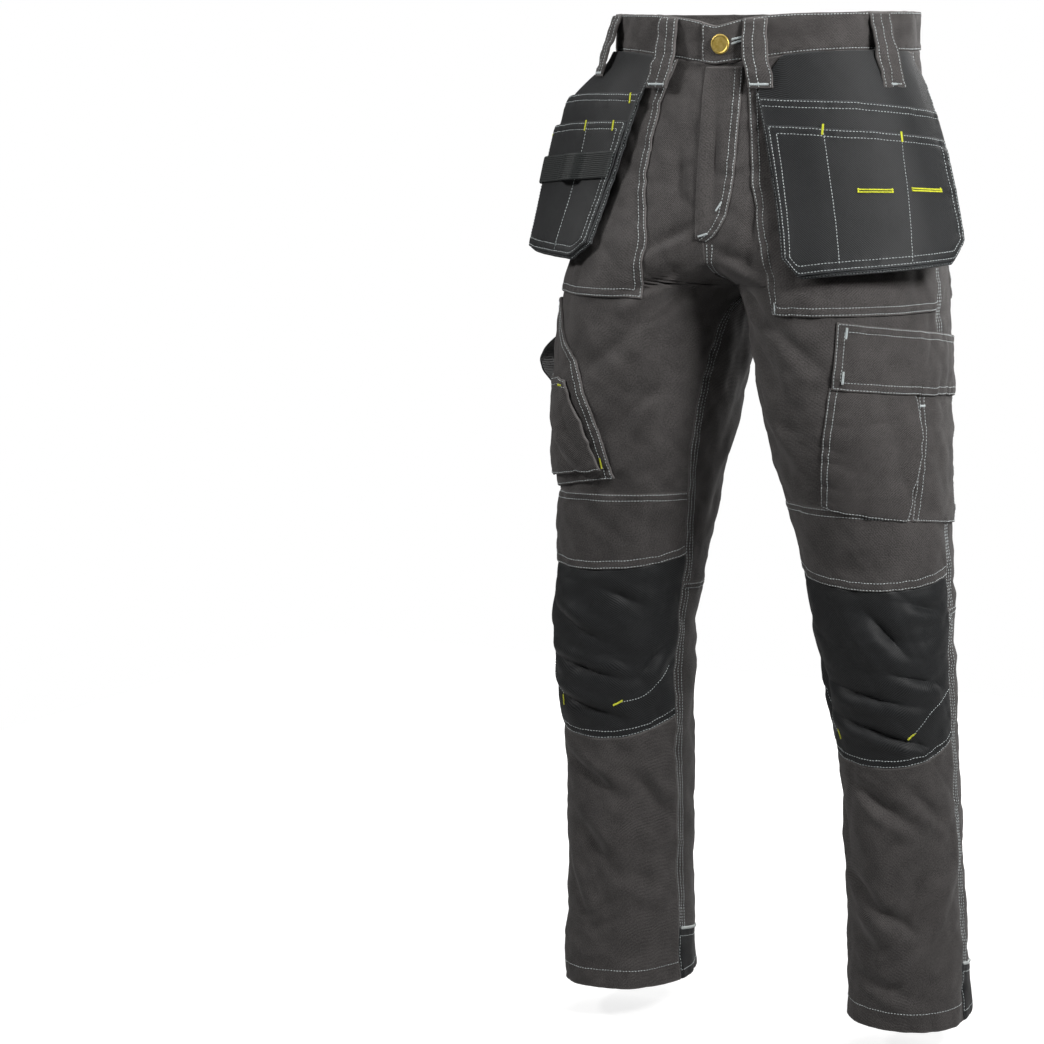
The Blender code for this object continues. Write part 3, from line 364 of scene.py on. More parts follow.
def level_out(side, w, z, step=0.004):
    """Level unit direction out of the cloth: square to the cloth's run along w."""
    run = cloth(side, w + step, z) - cloth(side, w - step, z)
    out = -side * np.cross(run, np.array([0.0, 0.0, 1.0]))
    return out / np.maximum(np.linalg.norm(out, axis=-1, keepdims=True), 1e-9)


print("front of the left thigh:", cloth(1, 0.12, -0.35).round(3))

# %% [markdown]
# ## Finishes
#
# Four cloths, two metals and two threads. The charcoal twill shows fine slanting ribs, a mottled
# warm grey and paler worn edges. The black cloth of the holsters and knee pads is smoother, with a
# tight diagonal weave, and the webbing has coarse ribs along its length. Photographs of cloth
# could be wrapped round the pieces, but a weave worked out from each piece's own flat cut follows
# every fold without stretching. Bump nodes turn the same pattern into a little relief.


# %% Helpers for finishes
def add(tree, kind, inputs=None, **settings):
    """Adds a node, sets its options, and sets or links its inputs."""
    node = tree.nodes.new(kind)
    for key, value in settings.items():
        setattr(node, key, value)
    for key, value in (inputs or {}).items():
        if isinstance(value, bpy.types.NodeSocket):
            tree.links.new(value, node.inputs[key])
        else:
            node.inputs[key].default_value = value
    return node


def srgb(red, green, blue):
    """Colour of a screen in linear light."""
    share = np.array([red, green, blue]) / 255
    return (*np.where(share <= 0.04045, share / 12.92, ((share + 0.055) / 1.055) ** 2.4).tolist(), 1.0)


def start_finish(name, roughness, sheen=0.0, metallic=0.0):
    finish = bpy.data.materials.new(name)
    finish.use_nodes = True
    shader = finish.node_tree.nodes["Principled BSDF"]
    shader.inputs["Roughness"].default_value = roughness
    shader.inputs["Metallic"].default_value = metallic
    shader.inputs["Sheen Weight"].default_value = sheen
    shader.inputs["Sheen Roughness"].default_value = 0.5
    return finish, finish.node_tree, shader


def weave_finish(name, dark, light, worn, roughness, sheen, pitch, angle, ribs, mottle, depth):
    """Cloth: slanting ribs of one pitch, fibres and mottling mix a dark and a light colour, and
    the colour pales towards the piece's edges."""
    finish, tree, shader = start_finish(name, roughness, sheen)
    shader.inputs["Specular IOR Level"].default_value = 0.32
    cut = add(tree, "ShaderNodeUVMap", uv_map="cut").outputs["UV"]
    slant = add(tree, "ShaderNodeMapping", {"Vector": cut, "Rotation": (0, 0, math.radians(angle))})
    weave = add(tree, "ShaderNodeTexWave", {"Vector": slant.outputs["Vector"], "Scale": 0.314 / pitch,
                "Distortion": 1.2, "Detail": 2.0, "Detail Scale": 2.0}, wave_type="BANDS")
    fibre = add(tree, "ShaderNodeTexNoise", {"Vector": cut, "Scale": 700.0, "Detail": 3.0})
    place = add(tree, "ShaderNodeTexCoord").outputs["Object"]
    blotch = add(tree, "ShaderNodeTexNoise", {"Vector": place, "Scale": 46.0, "Detail": 5.0,
                 "Roughness": 0.62})
    parts = [(weave.outputs["Fac"], ribs), (fibre.outputs["Fac"], 1 - ribs - mottle),
             (blotch.outputs["Fac"], mottle)]
    total = None
    for socket, share in parts:
        term = add(tree, "ShaderNodeMath", {0: socket, 1: share}, operation="MULTIPLY").outputs[0]
        total = term if total is None else add(tree, "ShaderNodeMath", {0: total, 1: term},
                                               operation="ADD").outputs[0]
    ramp = add(tree, "ShaderNodeValToRGB", {"Fac": total})
    ramp.color_ramp.elements[0].position, ramp.color_ramp.elements[1].position = 0.37, 0.66
    ramp.color_ramp.elements[0].color, ramp.color_ramp.elements[1].color = dark, light
    rim = add(tree, "ShaderNodeAttribute", attribute_name="edge").outputs["Fac"]
    near = add(tree, "ShaderNodeMapRange", {"Value": rim, "From Min": 0.0, "From Max": 0.0022,
               "To Min": 0.75, "To Max": 0.0}).outputs["Result"]
    rub = add(tree, "ShaderNodeMath", {0: near, 1: blotch.outputs["Fac"]}, operation="MULTIPLY").outputs[0]
    colour = add(tree, "ShaderNodeMix", data_type="RGBA")
    tree.links.new(rub, colour.inputs["Factor"])
    tree.links.new(ramp.outputs["Color"], colour.inputs[6])
    colour.inputs[7].default_value = worn
    tree.links.new(colour.outputs[2], shader.inputs["Base Color"])
    bump = add(tree, "ShaderNodeBump", {"Height": total, "Strength": depth, "Distance": 0.0006})
    soft = add(tree, "ShaderNodeBump", {"Height": blotch.outputs["Fac"], "Strength": 0.22,
               "Distance": 0.0010, "Normal": bump.outputs["Normal"]})
    tree.links.new(soft.outputs["Normal"], shader.inputs["Normal"])
    return finish


# %% The cloths
TWILL = weave_finish("charcoal_twill_cloth", srgb(42, 40, 40), srgb(92, 89, 88), srgb(130, 127, 126),
                     0.84, 0.10, 0.0013, 62, 0.26, 0.24, 0.50)
OXFORD = weave_finish("black_oxford_cloth", srgb(11, 12, 13), srgb(42, 44, 46), srgb(76, 79, 81),
                      0.58, 0.05, 0.0017, 48, 0.42, 0.22, 0.55)
WEBBING = weave_finish("black_webbing_ribs", srgb(14, 16, 16), srgb(44, 48, 48), srgb(66, 70, 70),
                       0.60, 0.05, 0.0021, 90, 0.60, 0.10, 0.80)
PIPING = weave_finish("pale_piping_cord", srgb(150, 158, 158), srgb(208, 214, 213), srgb(220, 226, 225),
                      0.60, 0.05, 0.0016, 50, 0.45, 0.10, 0.80)
print("cloths:", [m.name for m in (TWILL, OXFORD, WEBBING, PIPING)])


# %% Threads and metals
def thread_finish(name, colour, shade):
    """Twisted thread: fine noise between two near colours and a soft gloss."""
    finish, tree, shader = start_finish(name, 0.55, sheen=0.05)
    place = add(tree, "ShaderNodeTexCoord").outputs["Object"]
    twist = add(tree, "ShaderNodeTexNoise", {"Vector": place, "Scale": 1400.0, "Detail": 1.0})
    ramp = add(tree, "ShaderNodeValToRGB", {"Fac": twist.outputs["Fac"]})
    ramp.color_ramp.elements[0].color, ramp.color_ramp.elements[1].color = shade, colour
    ramp.color_ramp.elements[0].position, ramp.color_ramp.elements[1].position = 0.35, 0.60
    tree.links.new(ramp.outputs["Color"], shader.inputs["Base Color"])
    return finish


def metal_finish(name, colour, shade, roughness):
    """Stamped metal: cloudy tarnish between two near colours, and the same cloud as a faint bump."""
    finish, tree, shader = start_finish(name, roughness, metallic=1.0)
    place = add(tree, "ShaderNodeTexCoord").outputs["Object"]
    cloud = add(tree, "ShaderNodeTexNoise", {"Vector": place, "Scale": 260.0, "Detail": 4.0})
    ramp = add(tree, "ShaderNodeValToRGB", {"Fac": cloud.outputs["Fac"]})
    ramp.color_ramp.elements[0].color, ramp.color_ramp.elements[1].color = shade, colour
    ramp.color_ramp.elements[0].position, ramp.color_ramp.elements[1].position = 0.35, 0.62
    tree.links.new(ramp.outputs["Color"], shader.inputs["Base Color"])
    bump = add(tree, "ShaderNodeBump", {"Height": cloud.outputs["Fac"], "Strength": 0.3, "Distance": 0.0003})
    tree.links.new(bump.outputs["Normal"], shader.inputs["Normal"])
    return finish


THREADS = {"pale": thread_finish("pale_thread", srgb(208, 216, 217), srgb(158, 167, 169)),
           "grey": thread_finish("grey_thread", srgb(152, 158, 158), srgb(112, 118, 118)),
           "yellow": thread_finish("yellow_thread", srgb(232, 236, 72), srgb(196, 200, 40))}
BRASS = metal_finish("brass_button", srgb(222, 198, 118), srgb(196, 168, 84), 0.46)
SILVER = metal_finish("silver_snap", srgb(214, 214, 212), srgb(160, 160, 158), 0.30)
print("threads:", list(THREADS))

# %% [markdown]
# ## Cutting and sewing
#
# Every piece of cloth is made by the same few steps. A grid of shares, across and down the piece,
# is laid on the form. Its lines are close together along the edges, where the needle pulls the
# cloth in, and wider in the middle. The grid is pushed out by the piece's lift and by its seam
# relief, a second skin is laid one cloth thickness under it, and a rim closes the two. Solidify
# could make the wall, but it knows nothing of seams. Stitches are short spindles of thread on the
# face of the piece that they hold, laid along rows at set distances from an edge.

# %% Grid lines and relief of a seam
EDGE_LINES = np.array([0, 0.0005, 0.0012, 0.0022, 0.0034, 0.0050, 0.0068, 0.0085, 0.0102, 0.0125])


def grid_lines(size, pitch):
    """Shares from 0 to 1: close lines along both ends and an even pitch between them."""
    ends = EDGE_LINES[EDGE_LINES < size * 0.3] / size
    count = max(2, round((1 - 2 * ends[-1]) * size / pitch))
    return np.concatenate([ends, np.linspace(ends[-1], 1 - ends[-1], count + 1)[1:-1], (1 - ends)[::-1]])


def seam_relief(depth, along, rows, seed, pull, roll):
    """Relief by the distance from an edge: the edge rolls down on a parabola, each row of thread
    presses a narrow bell into the cloth, and the cloth puckers in waves between edge and rows."""
    relief = -roll * np.clip(1 - depth / 0.0016, 0, 1) ** 2
    if not rows:
        return relief
    for row in rows:
        relief = relief - 0.00040 * np.exp(-((depth - row) / 0.0011) ** 2)
    chance = np.random.default_rng(seed)
    wave = sum(np.sin(along * 2 * math.pi / length + chance.uniform(0, 6.28))
               for length in (0.0085, 0.0130, 0.0190, 0.0310))
    band = max(rows)
    return relief + pull * wave * np.exp(-((depth - band * 0.6) / (band * 0.6 + 0.0022)) ** 2)


print("lines over 200 mm:", len(grid_lines(0.2, 0.0035)))

# %% Walls of cloth
PIECES, TRIANGLES = {}, {}


def put_mesh(name, points, faces, finish, maps=None):
    """Mesh from arrays: points, then faces of four corners, then the flat cut as a map and the
    distance to the edge as an attribute, both by point."""
    mesh = bpy.data.meshes.new(name)
    mesh.vertices.add(len(points))
    mesh.vertices.foreach_set("co", points.astype(np.float32).ravel())
    mesh.loops.add(faces.size)
    mesh.loops.foreach_set("vertex_index", faces.astype(np.int32).ravel())
    mesh.polygons.add(len(faces))
    mesh.polygons.foreach_set("loop_start", np.arange(0, faces.size, faces.shape[1], dtype=np.int32))
    mesh.update(calc_edges=True)
    mesh.validate()
    if maps is not None:
        cut, edge = maps
        layer = mesh.uv_layers.new(name="cut")
        layer.data.foreach_set("uv", cut[faces.ravel()].astype(np.float32).ravel())
        mesh.attributes.new("edge", "FLOAT", "POINT").data.foreach_set("value", edge.astype(np.float32))
    mesh.materials.append(finish)
    mesh.shade_smooth()
    mesh.set_sharp_from_angle(angle=math.radians(50))
    thing = bpy.data.objects.new(name, mesh)
    bpy.context.scene.collection.objects.link(thing)
    TRIANGLES[name] = len(faces) * (faces.shape[1] - 2)
    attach(thing, "root")
    return thing


def wall_faces(rows, columns, is_flipped):
    """Faces of the two skins of a grid and of the rim that joins them, all turned outwards."""
    count = rows * columns
    number = np.arange(count).reshape(rows, columns)
    skin = np.stack([number[:-1, :-1], number[1:, :-1], number[1:, 1:], number[:-1, 1:]], axis=-1)
    skin = skin.reshape(-1, 4)
    edge = np.concatenate([number[0, :], number[1:, -1], number[-1, -2::-1], number[-2:0:-1, 0]])
    after = np.roll(edge, -1)
    rim = np.stack([edge, after, after + count, edge + count], axis=-1)
    faces = np.concatenate([skin, skin[:, ::-1] + count, rim])
    return faces[:, ::-1] if is_flipped else faces


def run_length(points, axis):
    """Length along the grid's lines in one direction, from its first line."""
    step = np.linalg.norm(np.diff(points, axis=axis), axis=-1).cumsum(axis=axis)
    start = np.zeros_like(np.take(step, [0], axis=axis))
    return np.concatenate([start, step], axis=axis)


def make_cloth(name, place, size, finish, slot, wall=0.0014, pitch=0.0035, lift=0.0, puff=0.0,
               rows=None, pull=0.00022, roll=0.0005, floor=None, held="hung", rests_on=(), seed=1,
               is_sheet=True, with_pieces=()):
    """Piece of cloth over place(across, down), named for the solid that it stands for."""
    across, down = grid_lines(size[0], pitch), grid_lines(size[1], pitch)
    a, d = np.meshgrid(across, down)
    base = place(a, d)
    to_a, to_d = np.gradient(base, axis=1), np.gradient(base, axis=0)
    out = np.cross(to_a, to_d)
    out /= np.maximum(np.linalg.norm(out, axis=-1, keepdims=True), 1e-12)
    z = base[..., 2]
    axis = np.clip((section(z, "x_in") + section(z, "x_out")) / 2, 0, None) * np.sign(base[..., 0].mean())
    away = np.stack([base[..., 0] - axis, base[..., 1], 0 * z], axis=-1)
    is_flipped = (out * away).sum() > 0
    out = out if is_flipped else -out
    run_a, run_d = run_length(base, 1), run_length(base, 0)
    depth = {"start": run_a, "end": run_a[:, -1:] - run_a, "top": run_d, "foot": run_d[-1:] - run_d}
    along = {"start": run_d, "end": run_d, "top": run_a, "foot": run_a}
    rows = rows or {}
    height = (lift(a, d) if callable(lift) else lift) + puff * np.sqrt(
        np.clip(np.sin(np.pi * a) * np.sin(np.pi * d), 0, 1))
    for k, edge in enumerate(depth):
        height = height + seam_relief(depth[edge], along[edge], rows.get(edge), seed * 7 + k, pull, roll)
    face = base + out * np.broadcast_to(height, z.shape)[..., None]
    back = face - out * wall
    if floor is not None:
        for skin in (face, back):
            skin[..., 0] = floor * np.maximum(floor * skin[..., 0], 0.00015)
    points = np.concatenate([face.reshape(-1, 3), back.reshape(-1, 3)])
    cut = np.stack([run_a, run_d], axis=-1).reshape(-1, 2) + seed * 0.137
    edge = np.minimum.reduce(list(depth.values())).ravel()
    thing = put_mesh("cloth_" + name, points, wall_faces(*z.shape, is_flipped), finish,
                     (np.tile(cut, (2, 1)), np.tile(edge, 2)))
    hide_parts(name)
    quad = np.cross(face[1:, 1:] - face[:-1, :-1], face[1:, :-1] - face[:-1, 1:])
    area = float(np.linalg.norm(quad, axis=-1).sum() / 2)
    flat = [float(run_length(face, 1)[:, -1].max()) * 1.003, float(run_length(face, 0)[-1].max()) * 1.003]
    area = min(area, flat[0] * flat[1])
    PIECES[name] = {"across": across, "down": down, "face": face, "out": out, "rows": rows,
                    "run_a": run_length(face, 1), "run_d": run_length(face, 0), "flat": flat, "area": area}
    return thing


# %% [markdown]
# ### Thread
#
# A stitch is a little spindle: two tips sunk into the cloth and a ring of four points at each
# third. Ten points are enough at this size, because there are thousands of them. All stitches of
# one colour are one mesh. A bartack is a short bar of crosswise stitches packed side by side.

# %% Stitches
STITCH_PITCH, STITCH_LENGTH, STITCH_WIDTH = 0.0033, 0.0025, 0.00075
SPINDLES = {colour: [] for colour in THREADS}
SPINDLE_FACES = np.array([(0, 1, 2), (0, 2, 3), (0, 3, 4), (0, 4, 1), (1, 6, 2), (1, 5, 6), (2, 7, 3),
                          (2, 6, 7), (3, 8, 4), (3, 7, 8), (4, 5, 1), (4, 8, 5), (9, 6, 5), (9, 7, 6),
                          (9, 8, 7), (9, 5, 8)])


def on_face(piece, a, d):
    """Point and outward direction on a piece's face at shares (a, d): the four nearest grid points."""
    j = np.clip(np.searchsorted(piece["across"], a) - 1, 0, len(piece["across"]) - 2)
    i = np.clip(np.searchsorted(piece["down"], d) - 1, 0, len(piece["down"]) - 2)
    q = ((a - piece["across"][j]) / (piece["across"][j + 1] - piece["across"][j]))[..., None]
    p = ((d - piece["down"][i]) / (piece["down"][i + 1] - piece["down"][i]))[..., None]

    def read(grid):
        return ((grid[i, j] * (1 - q) + grid[i, j + 1] * q) * (1 - p)
                + (grid[i + 1, j] * (1 - q) + grid[i + 1, j + 1] * q) * p)
    return read(piece["face"]), read(piece["out"])


def lay_spindles(colour, tip, end, out, width):
    """Spindles from tip to end: half a width aside and above at a quarter and at three quarters."""
    run = end - tip
    aside = np.cross(out, run)
    aside /= np.maximum(np.linalg.norm(aside, axis=-1, keepdims=True), 1e-12)
    rings = []
    for share in (0.24, 0.76):
        middle = tip + run * share
        rings += [middle + out * width * 0.50, middle + aside * width / 2,
                  middle - out * width * 0.25, middle - aside * width / 2]
    SPINDLES[colour].append(np.stack([tip - out * 0.0001] + rings + [end - out * 0.0001], axis=1))


def sew(name, a, d, colour, trim=(0.0, 0.0), pitch=STITCH_PITCH, width=STITCH_WIDTH):
    """A row of stitches along a line of shares, one at each pitch of its length."""
    point, out = on_face(PIECES[name], np.asarray(a, float), np.asarray(d, float))
    run = np.concatenate([[0], np.linalg.norm(np.diff(point, axis=0), axis=1).cumsum()])
    count = int((run[-1] - trim[0] - trim[1]) / pitch)
    if count < 1:
        return
    middle = trim[0] + (np.arange(count) + 0.5) * (run[-1] - trim[0] - trim[1]) / count
    half = STITCH_LENGTH / STITCH_PITCH * pitch / 2
    tip, end, up = (np.stack([np.interp(place, run, values[:, k]) for k in range(3)], axis=1)
                    for place, values in ((middle - half, point), (middle + half, point), (middle, out)))
    lay_spindles(colour, tip + up * 0.0001, end + up * 0.0001, up, width)


def edge_line(piece, edge, depth):
    """Line of shares at one distance from an edge of a piece."""
    if edge in ("top", "foot"):
        run = piece["run_d"]
        place = [np.interp(depth if edge == "top" else r[-1] - depth, r, piece["down"]) for r in run.T]
        return piece["across"], np.array(place)
    place = [np.interp(depth if edge == "start" else r[-1] - depth, r, piece["across"])
             for r in piece["run_a"]]
    return np.array(place), piece["down"]


BESIDE = {"top": ("start", "end"), "foot": ("start", "end"), "start": ("top", "foot"), "end": ("top", "foot")}


def sew_rows(name, colour="pale"):
    """All rows of a piece: each stops at the same distance from the edges beside it."""
    piece = PIECES[name]
    for edge, depths in piece["rows"].items():
        for k, depth in enumerate(depths):
            beside = [piece["rows"].get(other) for other in BESIDE[edge]]
            trim = [other[min(k, len(other) - 1)] if other else 0.0008 for other in beside]
            sew(name, *edge_line(piece, edge, depth), colour, trim)


def tack(name, a, d, angle=0.0, length=0.010, colour="yellow", width=0.0024, gap=0.00062):
    """Bartack centred at shares (a, d): crosswise stitches in a bar. Angle 0 runs across the piece
    and 90 down it."""
    point, out = on_face(PIECES[name], np.array([a, a + 0.01, a]), np.array([d, d, d + 0.01]))
    out = out[0] / np.linalg.norm(out[0])
    level = point[1] - point[0] - out * ((point[1] - point[0]) @ out)
    level /= np.linalg.norm(level)
    below = point[2] - point[0] - out * ((point[2] - point[0]) @ out)
    below -= level * (below @ level)
    below /= np.linalg.norm(below)
    turn = math.radians(angle)
    bar = level * math.cos(turn) + below * math.sin(turn)
    cross = np.cross(out, bar)
    place = point[0] + bar * np.arange(-length / 2, length / 2, gap)[:, None] + out * 0.00035
    up = np.broadcast_to(out, place.shape)
    lay_spindles(colour, place - cross * width / 2, place + cross * width / 2, up, gap * 1.7)


def finish_thread(colour):
    """One mesh of all the stitches of a colour."""
    points = np.concatenate(SPINDLES[colour])
    start = np.arange(len(points))[:, None, None] * 10
    faces = (SPINDLE_FACES[None] + start).reshape(-1, 3)
    thing = put_mesh(f"thread_{colour}", points.reshape(-1, 3), faces, THREADS[colour])
    print(f"{colour} thread:", len(points), "stitches")


print("stitch length", STITCH_LENGTH * 1000, "mm, pitch", STITCH_PITCH * 1000, "mm")

# %% [markdown]
# ## Legs and seat
#
# Each leg is sewn from a front and a back. The front is cut across at the knee: a plain thigh, a
# narrow band, a black pocket for a knee pad, and a shin. The back has a yoke, a thigh, a calf and a
# black band at the hem. A panel could be cut out of one big tube with knives, but then its edges
# would follow the tube's faces. Here each panel has its own grid between its own seams, so that
# every edge can roll, dip and pucker. The back panels carry the three rows of the felled seams.

# %% Panels between two cross seams
def seam_height(row, t):
    """Parabola through a cross seam's heights at the side seam, half way and at its inner end."""
    t = np.abs(t)
    if row == "waist":
        return waist(t, "seam")
    side, half, end = CROSS_SEAMS[row]
    return side * (1 - t) * (1 - 2 * t) + half * 4 * t * (1 - t) + end * t * (2 * t - 1)


def back_waist(t):
    return waist(-np.abs(t), "seam")


def panel_place(side, front, top, bottom):
    """Place on a panel: across from the side seam to the inner edge, down between its two seams."""
    sign = 1 if front else -1

    def at(a, d):
        t = np.clip(sign * (0.0007 + a * 0.9986), -1, 1)
        upper = back_waist(t) if top == "waist" and not front else seam_height(top, t)
        lower = seam_height(bottom, t)
        z = (upper - 0.00015) * (1 - d) + (lower + 0.00015) * d
        share = section(z, "inseam")
        length, back = half_length(z, True), half_length(z, False)
        w = np.where(t >= 0, t * share * length, t * (back + (1 - share) * length))
        return cloth(side, w, z)
    return at


def make_panel(name, side, front, top, bottom, size, finish, slot, rows, **more):
    tag = "left" if side > 0 else "right"
    make_cloth(f"{name}_{tag}", panel_place(side, front, top, bottom), size, finish, slot, wall=0.0020,
               rows=rows, floor=side, seed=len(PIECES) + 1, **more)
    return f"{name}_{tag}"


def piping_place(side):
    """Narrow band over the seam between calf and hem band."""
    def at(a, d):
        t = -(0.016 + a * 0.966)
        z = seam_height("hem_band", t) + (0.5 - d) * 0.0032
        share = section(z, "inseam")
        return cloth(side, t * (half_length(z, False) + (1 - share) * half_length(z, True)), z)
    return at


FELL = (0.0020, 0.0068, 0.0116)
PIPES = {side: make_cloth(f"hem_piping_{tag}", piping_place(side), (0.24, 0.0032), PIPING, "pale_piping",
                          wall=0.0014, pitch=0.0034, lift=0.0018, roll=0.0010, pull=0.0, seed=110 + side,
                          is_sheet=False) for side, tag in ((+1, "left"), (-1, "right"))}
for side in (+1, -1):
    make_panel("front_thigh", side, True, "waist", "band_top", (0.25, 0.45), TWILL, "charcoal_twill", {})
    make_panel("knee_band", side, True, "band_top", "pad_top", (0.21, 0.075), TWILL, "charcoal_twill",
               {"top": (0.0015, 0.0080), "foot": (0.0016, 0.0090)}, roll=0.0009,
               lift=lambda a, d: 0.0002 + 0.0016 * np.clip((d - 0.8) / 0.2, 0, 1))
    make_panel("knee_pad", side, True, "pad_top", "pad_bottom", (0.20, 0.185), OXFORD, "black_oxford",
               {"foot": (0.0014, 0.0085)}, puff=0.0046, pitch=0.0028,
               lift=lambda a, d: -0.0008 * np.clip(1 - d / 0.05, 0, 1))
    make_panel("shin", side, True, "pad_bottom", "hem", (0.20, 0.29), TWILL, "charcoal_twill",
               {"foot": (0.0200,)}, pitch=0.0030)
    make_panel("back_yoke", side, False, "waist", "yoke", (0.25, 0.08), TWILL, "charcoal_twill",
               {"start": FELL, "foot": FELL, "end": FELL})
    make_panel("back_thigh", side, False, "yoke", "back_knee", (0.32, 0.48), TWILL, "charcoal_twill",
               {"start": FELL, "end": FELL}, pitch=0.0038)
    make_panel("back_calf", side, False, "back_knee", "hem_band", (0.25, 0.39), TWILL, "charcoal_twill",
               {"top": (0.0020, 0.0070), "start": FELL, "end": FELL})
    make_panel("hem_band", side, False, "hem_band", "hem", (0.24, 0.058), OXFORD, "black_oxford",
               {"top": (0.0090,), "foot": (0.0100,), "start": (0.0020,), "end": (0.0020,)},
               with_pieces=[PIPES[side]])
print("panels:", len(PIECES), "triangles:", sum(TRIANGLES.values()))

# %% [markdown]
# ## Waistband, fly and belt loops
#
# The waistband is four layers thick, with a row of stitches along each edge. Its left end laps
# over the right one and carries the button. The loops are flat tubes folded from the same twill,
# sewn down at both ends, and they stand off the cloth between. A strip swept along a path would
# do for them. Here they use the same maker as the rest, with a lift that rises to an arch.

# %% Waistband halves and placket
def waistband_place(side):
    past = 0.015 if side > 0 else 0.012
    reach = past / float(half_length(0.0, True))

    def at(a, d):
        t = -0.9993 + a * (1.9993 + reach)
        folded = np.where(t > 1, 2 - t, t)
        z = waist(folded, "top") * (1 - d) + (waist(folded, "seam") + 0.00015) * d
        w = np.where(t >= 0, t * half_length(z, True), t * half_length(z, False))
        return cloth(side, w, z)
    return at


def band_lift(side):
    """The left end climbs over the right one from 29 mm before the centre front."""
    length = float(half_length(0.0, True))
    total = 1.9993 + 0.015 / length
    start = (1.9993 - 0.029 / length) / total
    run = 0.013 / length / total
    return lambda a, d: 0.0010 + (0.0034 * np.clip((a - start) / run, 0, 1) if side > 0 else 0)


for side in (+1, -1):
    tag = "left" if side > 0 else "right"
    make_cloth(f"waistband_{tag}", waistband_place(side), (0.46, 0.038), TWILL, "charcoal_twill",
               wall=0.0030, pitch=0.0032, lift=band_lift(side), puff=0.0004, pull=0.00032, roll=0.0010,
               rows={"top": (0.0020,), "foot": (0.0020,), "end": (0.0022,)}, seed=40 + side)


def outline_place(side, rows, keep_below=True):
    """Place on a patch: each row of its outline is w and z at its front edge, then at its rear."""
    rows = np.array(rows)
    key = -(rows[:, 1] + rows[:, 3])

    def at(a, d):
        place = key[0] + (key[-1] - key[0]) * d
        front_w, front_z, rear_w, rear_z = (np.interp(place, key, rows[:, k]) for k in range(4))
        w, z = front_w * (1 - a) + rear_w * a, front_z * (1 - a) + rear_z * a
        if keep_below:
            length = np.where(w >= 0, half_length(z, True), half_length(z, False))
            z = np.minimum(z, waist(w / length, "seam") - 0.0008)
        return cloth(side, w, z)
    return at


FLY_ROWS = np.array([(-0.030, -0.034, 0.011, -0.034), (-0.030, -0.077, 0.011, -0.077),
                     (-0.029, -0.140, 0.010, -0.140), (-0.0275, -0.163, 0.010, -0.161),
                     (-0.0235, -0.180, 0.0095, -0.178), (-0.018, -0.192, 0.009, -0.189),
                     (-0.011, -0.200, 0.009, -0.198), (-0.002, -0.206, 0.009, -0.204)])


def fly_place(a, d):
    """Over the front edge: w counts from the centre seam at each height."""
    key = -(FLY_ROWS[:, 1] + FLY_ROWS[:, 3])
    place = key[0] + (key[-1] - key[0]) * d
    inner_w, inner_z, outer_w, outer_z = (np.interp(place, key, FLY_ROWS[:, k]) for k in range(4))
    z = inner_z * (1 - a) + outer_z * a
    return cloth(+1, half_length(z, True) + inner_w * (1 - a) + outer_w * a, z)


make_cloth("fly_placket", fly_place, (0.041, 0.172), TWILL, "charcoal_twill", lift=0.0022, pitch=0.0030,
           rows={"start": (0.0016, 0.0085)}, roll=0.0014, pull=0.0003, seed=51)
print("band and placket:", PIECES["waistband_left"]["flat"], PIECES["fly_placket"]["flat"])


# %% Strips that stand off the cloth
def strip_place(side, w, width, z_top, z_foot, lifts, is_central=False):
    """Strip down the cloth: its lift runs on a parabola through three values, at top, middle, foot."""
    top, middle, foot = lifts

    def at(a, d):
        arch = middle - (top + foot) / 2
        lift = top * (1 - d) + foot * d + arch * (1 - (2 * d - 1) ** 2)
        z = z_top + (z_foot - z_top) * d
        place = w + (0.5 - a) * width
        if is_central:
            place = place + half_length(0.0, False) - half_length(z, False)
        return cloth(side, place, z) + level_out(side, place, z) * lift[..., None]
    return at


BELT_LOOPS = (      # name, side, w, foot height, lifts at the top, in the middle and at the foot
    ("belt_loop_front_left", +1, 0.181, -0.055, (0.0040, 0.0110, 0.0110)),
    ("belt_loop_front_right", -1, 0.169, -0.055, (0.0040, 0.0120, 0.0120)),
    ("belt_loop_side_left", +1, 0.053, -0.055, (0.0040, 0.0140, 0.0170)),
    ("belt_loop_side_right", -1, 0.072, -0.043, (0.0040, 0.0160, 0.0225)),
    ("belt_loop_back_left", +1, -0.094, -0.055, (0.0040, 0.0095, 0.0032)),
    ("belt_loop_back_right", -1, -0.098, -0.055, (0.0040, 0.0095, 0.0032)),
)
LOOP_ROWS = {"start": (0.0026, 0.0120), "end": (0.0026,)}
for number, (name, side, w, z_foot, lifts) in enumerate(BELT_LOOPS):
    z_top = float(waist(w / half_length(0.0, w > 0), "top")) - 0.0010
    make_cloth(name, strip_place(side, w, 0.024, z_top, z_foot, lifts), (0.024, 0.075), TWILL,
               "charcoal_twill", wall=0.0022, pitch=0.0030, rows=LOOP_ROWS, pull=0.0002, roll=0.0010,
               seed=60 + number)
make_cloth("belt_loop_centre_back",
           strip_place(+1, -float(half_length(0.0, False)), 0.070, 0.0215, -0.047,
                       (0.0040, 0.0100, 0.0032), is_central=True),
           (0.070, 0.070), TWILL, "charcoal_twill", wall=0.0022, pitch=0.0032, seed=68, roll=0.0010,
           rows={"start": (0.0022, 0.0080), "end": (0.0022, 0.0080), "top": (0.0022,), "foot": (0.0022,)})
print("loops:", [n for n in PIECES if "loop" in n])

# %% [markdown]
# ## Pockets on the panels
#
# Flat patches lie on the fronts, a cargo pocket with a flap on the left thigh, a slanted ruler
# pocket on the right one, and two pockets behind. Each edge is turned in and sewn with two rows, so
# it rolls over and dips at the rows. The patch maker takes the outline in tailor's lengths, and
# lays the patch on the same folded cloth as the panel under it, a cloth thickness further out.

